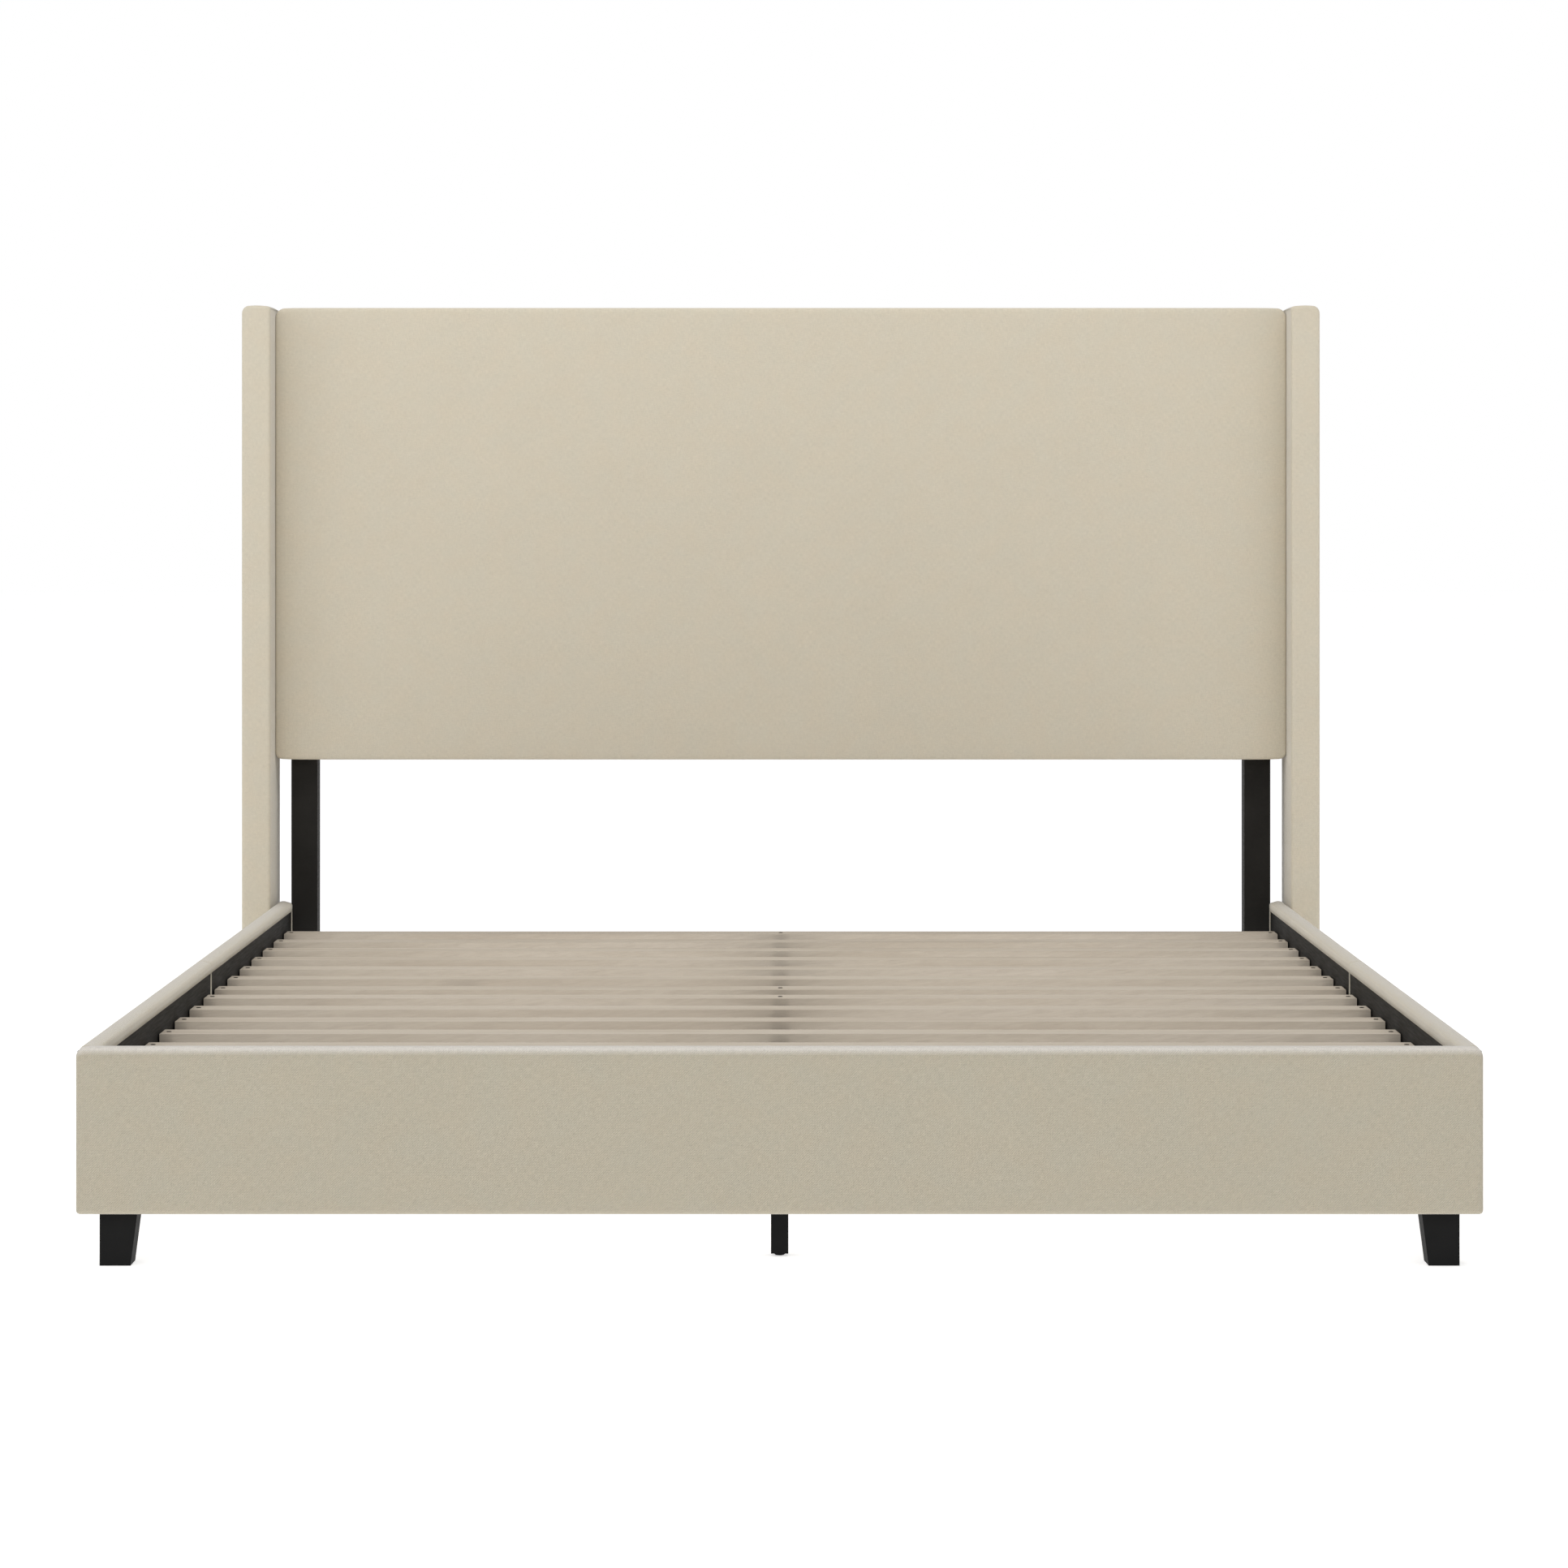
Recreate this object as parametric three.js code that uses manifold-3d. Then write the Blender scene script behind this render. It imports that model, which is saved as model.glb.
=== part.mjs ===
// Upholstered headboard bed for a 1524 x 2030 mm mattress: a padded headboard panel between two
// padded wings, padded side rails in two halves each, a footboard, slats on ledges, and a centre
// beam in two halves on three legs with levelling feet.
//
// Millimetres. The origin is on the floor under the middle of the bed. +Z is up, +Y points from the
// foot to the head, and +X is on the right for someone standing at the foot. Left and right are
// mirror images: the right side is modelled, and a mirrored group holds the left.

import * as THREE from "three";
import { mergeVertices } from "three/addons/utils/BufferGeometryUtils.js";
import Module from "manifold-3d";

const wasm = await Module();
wasm.setup();

// ---------- Driving dimensions ----------

const MATTRESS_WIDTH = 1524;
const MATTRESS_LENGTH = 2030;
const MATTRESS_CLEARANCE = 10; // on each side, and in all along the length

const GAP = 0.3; // between pieces that touch
const FABRIC = 1.2; // upholstery fabric where nothing pads it
const BOARD = 15; // rail and footboard boards
const STEEL = 3; // brackets and plates
const SEWN_SLACK = 1; // room left inside a cover for what it holds

const HEADBOARD_TOP = 1185;
const HEADBOARD_BOTTOM = 474;
const HEADBOARD_THICKNESS = 77;
const HEADBOARD_CROWN = 3; // how far its top and bottom edges bow out in the middle
const HEADBOARD_CORNER_RADIUS = 11;
const PANEL_FOAM = 18;
const PANEL_PLYWOOD = 12;
const FRAME_MEMBER = 30; // height of the headboard's cross rails
const BACK_SETBACK = 2; // of the headboard's frame from its back cloth

const LEG_WIDTH = 41;
const LEG_TOP = 1149.7;

const WING_THICKNESS = 44.5;
const WING_REACH = 66; // forward of the headboard's face
const WING_BOTTOM = 8;
const WING_PADDING = 11;
const WING_CORNER_RADIUS = 12;
const WING_INNER_RADIUS = 3;
const WING_GAP = 1; // between a wing and the headboard panel

const RAIL_THICKNESS = 22;
const RAIL_BOTTOM = 61;
const RAIL_TOP = 250;
const RAIL_LIP = 15.5; // how far the cover turns down inside
const RAIL_TOP_PADDING = 5.5;
const RAIL_TOP_RADIUS = 8;
const RAIL_SMALL_RADIUS = 4; // the cover's other outside corners
const SPLIT_Y = -8; // where the rail halves meet
const SPLIT_WRAP_SETBACK = 3; // of the cover over a split end, from the rail's rounded edges
const SPLIT_WRAP_LIFT = 0.5; // of that cover's lower edge
const JOINT_PLATE = [150, 65]; // length and height
const JOINT_PLATE_BOTTOM = 85;

const HEAD_BRACKET = { length: 79, width: 37, bottom: 80, height: 75 };
const FOOT_BRACKET = { length: 61, width: 72, footWidth: 57, top: 150 };

const FOOTBOARD_THICKNESS = 25;
const FOOTBOARD_TOP = 251;
const FOOTBOARD_PADDING = 8.2;
const FOOTBOARD_WRAP = 16; // how far its cover turns over the back face
const FOOTBOARD_CORNER_RADIUS = 10;
const FOOTBOARD_SMALL_RADIUS = 4; // its other rounded edges

const SLATS_PER_GROUP = 7;
const SLAT_WIDTH = 53;
const SLAT_THICKNESS = 15;
const SLAT_TOP = 208;
const SLAT_PITCH = 146.7;
const MIDDLE_SLAT_PITCH = 119; // between the two groups
const SLAT_MIDDLE = -14; // Y of the middle of all the slats
const LEDGE = [20, 30]; // width and height
const LEDGE_END = 45; // clear of the brackets
const LEDGE_SPLIT_END = 8; // clear of the rail's joint
const SLAT_END_CLEARANCE = 2;

const BEAM = [30, 40]; // width and height
const TUBE_WALL = 2;
const SLEEVE_LENGTH = 200;
const BEAM_OVERHANG = 5; // past the first and last slats
const CENTER_LEG_MARGIN = 9; // from a leg to the end of the beam or of its sleeve

const FRONT_FOOT_TOP_WIDTH = 43;
const FRONT_FOOT_BOTTOM_WIDTH = 35;
const FRONT_FOOT_DEPTH = 39;
const FRONT_FOOT_INSET = [2, 1]; // from the rail and from the footboard

const CENTER_LEG_SIZE = 20;
const CENTER_LEG_BOTTOM = 3;
const PLUG_HEIGHT = 12;
const STEM_RADIUS = 4;
const STEM_CLEARANCE = 0.35;
const STEM_TOP = 30;
const LEVELLING_FOOT_RADIUS = 6;
const ROUND_SEGMENTS = 24;

// ---------- Derived places ----------

const INNER_X = MATTRESS_WIDTH / 2 + MATTRESS_CLEARANCE;
const OUTER_X = INNER_X + RAIL_THICKNESS;
const INNER_LENGTH = MATTRESS_LENGTH + MATTRESS_CLEARANCE;
const REAR_Y = (FOOTBOARD_THICKNESS + INNER_LENGTH + HEADBOARD_THICKNESS) / 2;
const FRONT_Y = -REAR_Y;
const FOOT_Y = FRONT_Y + FOOTBOARD_THICKNESS; // footboard's inner face
const HEAD_Y = FOOT_Y + INNER_LENGTH; // headboard's face

const PLYWOOD_FRONT_Y = HEAD_Y + FABRIC + PANEL_FOAM + GAP;
const FRAME_FRONT_Y = PLYWOOD_FRONT_Y + PANEL_PLYWOOD + GAP;
const FRAME_REAR_Y = REAR_Y - BACK_SETBACK;
const HEADBOARD_INSIDE_X = OUTER_X - FABRIC - GAP;

const RAIL_FRONT_Y = FOOT_Y + GAP;
const RAIL_REAR_Y = FRAME_FRONT_Y - GAP;
const RAIL_BOARD_BOTTOM = RAIL_BOTTOM + FABRIC + GAP;
const RAIL_BOARD_TOP = RAIL_TOP - RAIL_TOP_PADDING - GAP;
const HARDWARE_X = INNER_X - GAP; // outer face of what is screwed to a rail's inner face

const SLAT_BOTTOM = SLAT_TOP - SLAT_THICKNESS;
const SUPPORT_TOP = SLAT_BOTTOM - GAP;
const SLAT_GROUP_SPAN = (SLATS_PER_GROUP - 1) * SLAT_PITCH;
const FIRST_SLAT_Y = SLAT_MIDDLE + MIDDLE_SLAT_PITCH / 2 + SLAT_GROUP_SPAN;
const BEAM_REACH = FIRST_SLAT_Y - SLAT_MIDDLE + SLAT_WIDTH / 2 + BEAM_OVERHANG; // half the beam's length

// ---------- Finishes ----------

const FINISHES = {
  fabric: { color: 0xc8bfab, roughness: 0.95, metalness: 0 },
  backCloth: { color: 0x2b2a28, roughness: 0.95, metalness: 0 },
  foam: { color: 0xe6dcb4, roughness: 1, metalness: 0 },
  plywood: { color: 0xb99e74, roughness: 0.8, metalness: 0 },
  slatWood: { color: 0xc2b8a7, roughness: 0.65, metalness: 0 },
  blackBoard: { color: 0x2c2b29, roughness: 0.6, metalness: 0 },
  blackSteel: { color: 0x1c1c1c, roughness: 0.45, metalness: 0.6 },
  blackPlastic: { color: 0x202020, roughness: 0.55, metalness: 0 },
};

// ---------- Building blocks ----------

function add(group, name, finish, geometry) {
  const mesh = new THREE.Mesh(geometry, new THREE.MeshStandardMaterial(FINISHES[finish]));
  mesh.name = name;
  group.add(mesh);
  return mesh;
}

// A box between pairs of coordinates.
function boxGeometry(xs, ys, zs) {
  const spans = [xs, ys, zs];
  const size = spans.map(([low, high]) => high - low);
  const middle = spans.map(([low, high]) => (low + high) / 2);
  return new THREE.BoxGeometry(...size).translate(...middle);
}

function addBox(group, name, finish, xs, ys, zs) {
  return add(group, name, finish, boxGeometry(xs, ys, zs));
}

// An outline drawn in X and Z, made solid from one Y to another.
function extrudeAlongY(shape, [front, rear], curveSegments = 4) {
  const options = { depth: rear - front, bevelEnabled: false, curveSegments };
  const turned = new THREE.Matrix4().makeRotationX(Math.PI / 2);
  return new THREE.ExtrudeGeometry(shape, options).applyMatrix4(turned).translate(0, rear, 0);
}

// An outline drawn in Y and Z, made solid from one X to another.
function extrudeAlongX(shape, [left, right], curveSegments = 4) {
  const options = { depth: right - left, bevelEnabled: false, curveSegments };
  const alongX = new THREE.Vector3(1, 0, 0);
  const alongY = new THREE.Vector3(0, 1, 0);
  const alongZ = new THREE.Vector3(0, 0, 1);
  const turned = new THREE.Matrix4().makeBasis(alongY, alongZ, alongX);
  return new THREE.ExtrudeGeometry(shape, options).applyMatrix4(turned).translate(left, 0, 0);
}

// A closed outline through corners given as [across, up, radius]; a radius of 0 leaves a sharp one.
function roundedOutline(corners) {
  const shape = new THREE.Shape();
  corners.forEach(([across, up, radius], index) => {
    const corner = new THREE.Vector2(across, up);
    const [before, after] = [-1, 1].map((step) => {
      const [x, y] = corners[(index + step + corners.length) % corners.length];
      const towards = new THREE.Vector2(x, y).sub(corner).normalize();
      return corner.clone().addScaledVector(towards, radius);
    });
    if (index === 0) {
      shape.moveTo(before.x, before.y);
    } else {
      shape.lineTo(before.x, before.y);
    }
    if (radius > 0) {
      shape.quadraticCurveTo(across, up, after.x, after.y);
    }
  });
  shape.closePath();
  return shape;
}

function rectangle(width, height) {
  return new THREE.Shape([
    new THREE.Vector2(-width / 2, -height / 2),
    new THREE.Vector2(width / 2, -height / 2),
    new THREE.Vector2(width / 2, height / 2),
    new THREE.Vector2(-width / 2, height / 2),
  ]);
}

function solid(geometry) {
  const bare = geometry.clone();
  bare.deleteAttribute("normal");
  bare.deleteAttribute("uv");
  const merged = mergeVertices(bare);
  return new wasm.Manifold(
    new wasm.Mesh({
      numProp: 3,
      vertProperties: merged.attributes.position.array,
      triVerts: new Uint32Array(merged.index.array),
    }),
  );
}

function geometryOf(manifold) {
  const mesh = manifold.getMesh();
  const geometry = new THREE.BufferGeometry();
  geometry.setAttribute("position", new THREE.BufferAttribute(mesh.vertProperties, 3));
  geometry.setIndex(new THREE.BufferAttribute(mesh.triVerts, 1));
  geometry.computeVertexNormals();
  return geometry;
}

function cut(geometry, ...tools) {
  return geometryOf(tools.reduce((rest, tool) => rest.subtract(solid(tool)), solid(geometry)));
}

function join(...geometries) {
  return geometryOf(geometries.map(solid).reduce((whole, piece) => whole.add(piece)));
}

function overlapOf(first, second) {
  return geometryOf(solid(first).intersect(solid(second)));
}

// ---------- Headboard ----------

// The panel's outline, inset by a margin: straight sides, and bowed top and bottom edges.
function panelOutline(inset) {
  const x = OUTER_X - WING_GAP / 2 - inset;
  const top = HEADBOARD_TOP - HEADBOARD_CROWN - inset;
  const bottom = HEADBOARD_BOTTOM + HEADBOARD_CROWN + inset;
  const radius = HEADBOARD_CORNER_RADIUS;
  const shape = new THREE.Shape();
  shape.moveTo(-x, bottom + radius);
  shape.quadraticCurveTo(-x, bottom, -x + radius, bottom);
  shape.quadraticCurveTo(0, bottom - 2 * HEADBOARD_CROWN, x - radius, bottom);
  shape.quadraticCurveTo(x, bottom, x, bottom + radius);
  shape.lineTo(x, top - radius);
  shape.quadraticCurveTo(x, top, x - radius, top);
  shape.quadraticCurveTo(0, top + 2 * HEADBOARD_CROWN, -x + radius, top);
  shape.quadraticCurveTo(-x, top, -x, top - radius);
  return shape;
}

function legSpan(margin = 0) {
  return [INNER_X - LEG_WIDTH - margin, INNER_X + margin];
}

// A tray of fabric, open at the back, with a notch in its lower edge for each leg.
function headboardCover() {
  const outside = extrudeAlongY(panelOutline(0), [HEAD_Y, REAR_Y - FABRIC], 6);
  const inside = extrudeAlongY(panelOutline(FABRIC), [HEAD_Y + FABRIC, REAR_Y + FABRIC], 6);
  const notchY = [FRAME_FRONT_Y - GAP, REAR_Y + FABRIC];
  const notchZ = [HEADBOARD_BOTTOM - FABRIC, HEADBOARD_BOTTOM + FRAME_MEMBER];
  const [near, far] = legSpan(GAP);
  const rightNotch = boxGeometry([near, far], notchY, notchZ);
  const leftNotch = boxGeometry([-far, -near], notchY, notchZ);
  return cut(outside, inside, rightNotch, leftNotch);
}

function addHeadboard(bed) {
  const x = HEADBOARD_INSIDE_X - SEWN_SLACK;
  const bottom = HEADBOARD_BOTTOM + HEADBOARD_CROWN + FABRIC + SEWN_SLACK;
  const top = HEADBOARD_TOP - HEADBOARD_CROWN - FABRIC - SEWN_SLACK;
  const frameY = [FRAME_FRONT_Y, FRAME_REAR_Y - SEWN_SLACK];
  const frameSetback = 2 * SEWN_SLACK;
  const betweenLegs = INNER_X - LEG_WIDTH - GAP;
  const plywoodY = [PLYWOOD_FRONT_Y, PLYWOOD_FRONT_Y + PANEL_PLYWOOD];
  const foamY = [HEAD_Y + FABRIC + GAP, PLYWOOD_FRONT_Y - GAP];
  add(bed, "headboard_cover", "fabric", headboardCover());
  const padded = roundedOutline([
    [-x, bottom, HEADBOARD_CORNER_RADIUS],
    [x, bottom, HEADBOARD_CORNER_RADIUS],
    [x, top, HEADBOARD_CORNER_RADIUS],
    [-x, top, HEADBOARD_CORNER_RADIUS],
  ]);
  add(bed, "headboard_foam", "foam", extrudeAlongY(padded, foamY, 3));
  add(bed, "headboard_board", "plywood", extrudeAlongY(padded, plywoodY, 3));
  const topRailX = [-x + frameSetback, x - frameSetback];
  addBox(bed, "headboard_top_rail", "plywood", topRailX, frameY, [LEG_TOP + GAP, top - frameSetback]);
  const lowZ = [bottom + frameSetback, bottom + frameSetback + FRAME_MEMBER];
  addBox(bed, "headboard_bottom_rail", "plywood", [-betweenLegs, betweenLegs], frameY, lowZ);
  const clothY = [REAR_Y - FABRIC + GAP, REAR_Y];
  addBox(bed, "headboard_back_cloth", "backCloth", [-x, x], clothY, [bottom, top]);
}

function addHeadboardSide(side, suffix) {
  const setback = 3 * SEWN_SLACK;
  const x = HEADBOARD_INSIDE_X - setback;
  const bottom = HEADBOARD_BOTTOM + HEADBOARD_CROWN + FABRIC + setback;
  const legY = [FRAME_FRONT_Y, FRAME_REAR_Y];
  const stileY = [FRAME_FRONT_Y, FRAME_REAR_Y - SEWN_SLACK];
  addBox(side, "headboard_leg_" + suffix, "blackBoard", legSpan(), legY, [0, LEG_TOP]);
  addBox(side, "headboard_stile_" + suffix, "plywood", [INNER_X + GAP, x], stileY, [bottom, LEG_TOP]);
}

// ---------- Wings ----------

function addWing(side, suffix) {
  const inner = OUTER_X + WING_GAP / 2;
  const outer = inner + WING_THICKNESS;
  const wingY = [HEAD_Y - WING_REACH, REAR_Y];
  const top = HEADBOARD_TOP - HEADBOARD_CROWN;
  const front = roundedOutline([
    [inner, WING_BOTTOM, 0],
    [outer, WING_BOTTOM, 0],
    [outer, top, WING_CORNER_RADIUS],
    [inner, top, WING_INNER_RADIUS],
  ]);
  const coreX = [inner + WING_PADDING, outer - WING_PADDING];
  const coreY = [wingY[0] + WING_PADDING, wingY[1] - WING_PADDING];
  const coreTop = top - WING_PADDING;
  const hollow = boxGeometry(
    [coreX[0] - GAP, coreX[1] + GAP],
    [coreY[0] - GAP, coreY[1] + GAP],
    [WING_BOTTOM - SEWN_SLACK, coreTop + GAP],
  );
  add(side, `wing_${suffix}_cover`, "fabric", cut(extrudeAlongY(front, wingY, 4), hollow));
  addBox(side, `wing_${suffix}_core`, "plywood", coreX, coreY, [WING_BOTTOM + 2 * SEWN_SLACK, coreTop]);
}

// ---------- Side rails ----------

// The cover's section: padding outside and on top, and thin fabric inside and below.
function railCoverSection() {
  const outerPadding = OUTER_X - INNER_X - BOARD - GAP;
  const boardOuter = OUTER_X - outerPadding;
  const padUnder = RAIL_TOP - RAIL_TOP_PADDING;
  return roundedOutline([
    [INNER_X, RAIL_BOTTOM, 0],
    [OUTER_X, RAIL_BOTTOM, RAIL_SMALL_RADIUS],
    [OUTER_X, RAIL_TOP, RAIL_TOP_RADIUS],
    [INNER_X - FABRIC - GAP, RAIL_TOP, RAIL_SMALL_RADIUS],
    [INNER_X - FABRIC - GAP, RAIL_TOP - RAIL_LIP, 0],
    [INNER_X - GAP, RAIL_TOP - RAIL_LIP, 0],
    [INNER_X - GAP, padUnder, 0],
    [boardOuter, padUnder, 0],
    [boardOuter, RAIL_BOTTOM + FABRIC, 0],
    [INNER_X, RAIL_BOTTOM + FABRIC, 0],
  ]);
}

// One half of a rail, from the split or to it: a board in a cover that also wraps its split end.
function addRailHalf(side, name, [from, to], splitEnd) {
  const wrapIsFirst = splitEnd === from;
  const wrapY = wrapIsFirst ? [from, from + FABRIC] : [to - FABRIC, to];
  const boardY = wrapIsFirst ? [from + FABRIC + GAP, to] : [from, to - FABRIC - GAP];
  const boardX = [INNER_X, INNER_X + BOARD];
  const section = extrudeAlongY(railCoverSection(), [from, to], 4);
  const wrapX = [INNER_X, OUTER_X - SPLIT_WRAP_SETBACK];
  const wrap = boxGeometry(wrapX, wrapY, [RAIL_BOTTOM + SPLIT_WRAP_LIFT, RAIL_TOP - SPLIT_WRAP_SETBACK]);
  add(side, `side_rail_cover_${name}`, "fabric", join(section, wrap));
  addBox(side, `side_rail_${name}`, "blackBoard", boardX, boardY, [RAIL_BOARD_BOTTOM, RAIL_BOARD_TOP]);
}

function addLedge(side, name, ys) {
  const [width, height] = LEDGE;
  const xs = [HARDWARE_X - width, HARDWARE_X];
  addBox(side, `slat_ledge_${name}`, "blackBoard", xs, ys, [SUPPORT_TOP - height, SUPPORT_TOP]);
}

function addRail(side, suffix) {
  const halfGap = GAP / 2;
  addRailHalf(side, suffix + "_front", [RAIL_FRONT_Y, SPLIT_Y - halfGap], SPLIT_Y - halfGap);
  addRailHalf(side, suffix + "_rear", [SPLIT_Y + halfGap, RAIL_REAR_Y], SPLIT_Y + halfGap);
  addLedge(side, suffix + "_front", [RAIL_FRONT_Y + LEDGE_END, SPLIT_Y - LEDGE_SPLIT_END]);
  addLedge(side, suffix + "_rear", [SPLIT_Y + LEDGE_SPLIT_END, RAIL_REAR_Y - LEDGE_END]);
  const [plateLength, plateHeight] = JOINT_PLATE;
  const plateX = [HARDWARE_X - STEEL, HARDWARE_X];
  const plateY = [SPLIT_Y - plateLength / 2, SPLIT_Y + plateLength / 2];
  const plateZ = [JOINT_PLATE_BOTTOM, JOINT_PLATE_BOTTOM + plateHeight];
  addBox(side, "rail_joint_plate_" + suffix, "blackSteel", plateX, plateY, plateZ);
}

// ---------- Brackets and front feet ----------

// An angle that holds the rail's head end against the front of the headboard leg.
function addHeadBracket(side, suffix) {
  const { length, width, bottom, height } = HEAD_BRACKET;
  const bracketZ = [bottom, bottom + height];
  const railFlangeY = [RAIL_REAR_Y - length, RAIL_REAR_Y];
  const railFlange = boxGeometry([HARDWARE_X - STEEL, HARDWARE_X], railFlangeY, bracketZ);
  const legFlangeY = [RAIL_REAR_Y - STEEL, RAIL_REAR_Y];
  const legFlange = boxGeometry([HARDWARE_X - width, HARDWARE_X], legFlangeY, bracketZ);
  add(side, "head_bracket_" + suffix, "blackSteel", join(railFlange, legFlange));
}

// A corner with three flanges: on the rail, on the footboard, and over the front foot.
function addFootBracket(side, suffix) {
  const { length, width, footWidth, top } = FOOT_BRACKET;
  const bracketZ = [RAIL_BOTTOM, top];
  const flangeRear = FOOT_Y + length;
  const railFlange = boxGeometry([HARDWARE_X - STEEL, HARDWARE_X], [RAIL_FRONT_Y, flangeRear], bracketZ);
  const footboardFlangeX = [HARDWARE_X - width, HARDWARE_X];
  const footboardFlange = boxGeometry(footboardFlangeX, [RAIL_FRONT_Y, RAIL_FRONT_Y + STEEL], bracketZ);
  const footFlangeZ = [RAIL_BOTTOM, RAIL_BOTTOM + STEEL];
  const footFlangeX = [HARDWARE_X - footWidth, HARDWARE_X];
  const footFlange = boxGeometry(footFlangeX, [RAIL_FRONT_Y, flangeRear], footFlangeZ);
  add(side, "foot_bracket_" + suffix, "blackSteel", join(railFlange, footboardFlange, footFlange));
}

// A tapered foot: its outer side is upright, and its inner side leans in towards the floor.
function addFrontFoot(side, suffix) {
  const [fromRail, fromFootboard] = FRONT_FOOT_INSET;
  const outer = INNER_X - fromRail;
  const top = RAIL_BOTTOM - GAP;
  const front = roundedOutline([
    [outer - FRONT_FOOT_BOTTOM_WIDTH, 0, 0],
    [outer, 0, 0],
    [outer, top, 0],
    [outer - FRONT_FOOT_TOP_WIDTH, top, 0],
  ]);
  const footFront = FOOT_Y + fromFootboard;
  const footY = [footFront, footFront + FRONT_FOOT_DEPTH];
  add(side, "front_foot_" + suffix, "blackPlastic", extrudeAlongY(front, footY));
}

// ---------- Footboard ----------

function addFootboard(bed) {
  const outline = roundedOutline([
    [-OUTER_X, RAIL_BOTTOM, FOOTBOARD_SMALL_RADIUS],
    [OUTER_X, RAIL_BOTTOM, FOOTBOARD_SMALL_RADIUS],
    [OUTER_X, FOOTBOARD_TOP, FOOTBOARD_CORNER_RADIUS],
    [-OUTER_X, FOOTBOARD_TOP, FOOTBOARD_CORNER_RADIUS],
  ]);
  const section = roundedOutline([
    [FRONT_Y, RAIL_BOTTOM, FOOTBOARD_SMALL_RADIUS],
    [FOOT_Y, RAIL_BOTTOM, 0],
    [FOOT_Y, FOOTBOARD_TOP, FOOTBOARD_SMALL_RADIUS],
    [FRONT_Y, FOOTBOARD_TOP, FOOTBOARD_CORNER_RADIUS],
  ]);
  const padded = overlapOf(
    extrudeAlongY(outline, [FRONT_Y, FOOT_Y], 4),
    extrudeAlongX(section, [-OUTER_X, OUTER_X], 4),
  );
  const boardX = OUTER_X - FABRIC - GAP;
  const boardY = [FRONT_Y + FOOTBOARD_PADDING + GAP, FOOT_Y - FABRIC - GAP];
  const boardZ = [RAIL_BOARD_BOTTOM, FOOTBOARD_TOP - RAIL_TOP_PADDING - GAP];
  const hollow = boxGeometry(
    [-boardX - GAP, boardX + GAP],
    [boardY[0] - GAP, boardY[1] + GAP],
    [boardZ[0] - GAP, boardZ[1] + GAP],
  );
  const opening = boxGeometry(
    [-boardX + FOOTBOARD_WRAP, boardX - FOOTBOARD_WRAP],
    [boardY[1], FOOT_Y + FABRIC],
    [RAIL_BOTTOM + FOOTBOARD_WRAP, FOOTBOARD_TOP - FOOTBOARD_WRAP],
  );
  add(bed, "footboard_cover", "fabric", cut(padded, hollow, opening));
  addBox(bed, "footboard_board", "blackBoard", [-boardX, boardX], boardY, boardZ);
}

// ---------- Slats ----------

// Slat 1 is at the head. Two equal groups leave a narrower pitch between them.
function slatY(index) {
  const shortened = index >= SLATS_PER_GROUP ? SLAT_PITCH - MIDDLE_SLAT_PITCH : 0;
  return FIRST_SLAT_Y - index * SLAT_PITCH + shortened;
}

function addSlats(bed) {
  const length = 2 * (INNER_X - SLAT_END_CLEARANCE);
  for (let index = 0; index < 2 * SLATS_PER_GROUP; index += 1) {
    const name = "slat_" + String(index + 1).padStart(2, "0");
    const slat = add(bed, name, "slatWood", new THREE.BoxGeometry(length, SLAT_WIDTH, SLAT_THICKNESS));
    slat.position.set(0, slatY(index), SLAT_TOP - SLAT_THICKNESS / 2);
  }
}

// ---------- Centre beam and legs ----------

function tubeGeometry(width, height, wall, ys) {
  const section = rectangle(width, height);
  section.holes.push(rectangle(width - 2 * wall, height - 2 * wall));
  return extrudeAlongY(section, ys);
}

function addCenterBeam(bed) {
  const [width, height] = BEAM;
  const middleZ = SUPPORT_TOP - height / 2;
  const frontY = [SLAT_MIDDLE - BEAM_REACH, SLAT_MIDDLE - GAP / 2];
  const rearY = [SLAT_MIDDLE + GAP / 2, SLAT_MIDDLE + BEAM_REACH];
  const sleeveY = [SLAT_MIDDLE - SLEEVE_LENGTH / 2, SLAT_MIDDLE + SLEEVE_LENGTH / 2];
  const [sleeveWidth, sleeveHeight] = BEAM.map((size) => size - 2 * (TUBE_WALL + GAP));
  const front = tubeGeometry(width, height, TUBE_WALL, frontY);
  const rear = tubeGeometry(width, height, TUBE_WALL, rearY);
  const sleeve = tubeGeometry(sleeveWidth, sleeveHeight, TUBE_WALL, sleeveY);
  add(bed, "center_beam_front", "blackSteel", front).position.z = middleZ;
  add(bed, "center_beam_rear", "blackSteel", rear).position.z = middleZ;
  add(bed, "center_beam_sleeve", "blackSteel", sleeve).position.z = middleZ;
}

// A square tube, open at the top, with a bored plug in its lower end.
function centerLegGeometry() {
  const top = SUPPORT_TOP - BEAM[1] - GAP;
  const half = CENTER_LEG_SIZE / 2;
  const inside = half - TUBE_WALL;
  const outer = boxGeometry([-half, half], [-half, half], [CENTER_LEG_BOTTOM, top]);
  const hollowZ = [CENTER_LEG_BOTTOM + PLUG_HEIGHT, top + 1];
  const hollow = boxGeometry([-inside, inside], [-inside, inside], hollowZ);
  const boreRadius = STEM_RADIUS + STEM_CLEARANCE;
  const boreLength = 3 * PLUG_HEIGHT;
  const bore = new THREE.CylinderGeometry(boreRadius, boreRadius, boreLength, ROUND_SEGMENTS);
  bore.rotateX(Math.PI / 2);
  return cut(outer, hollow, bore);
}

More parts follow.
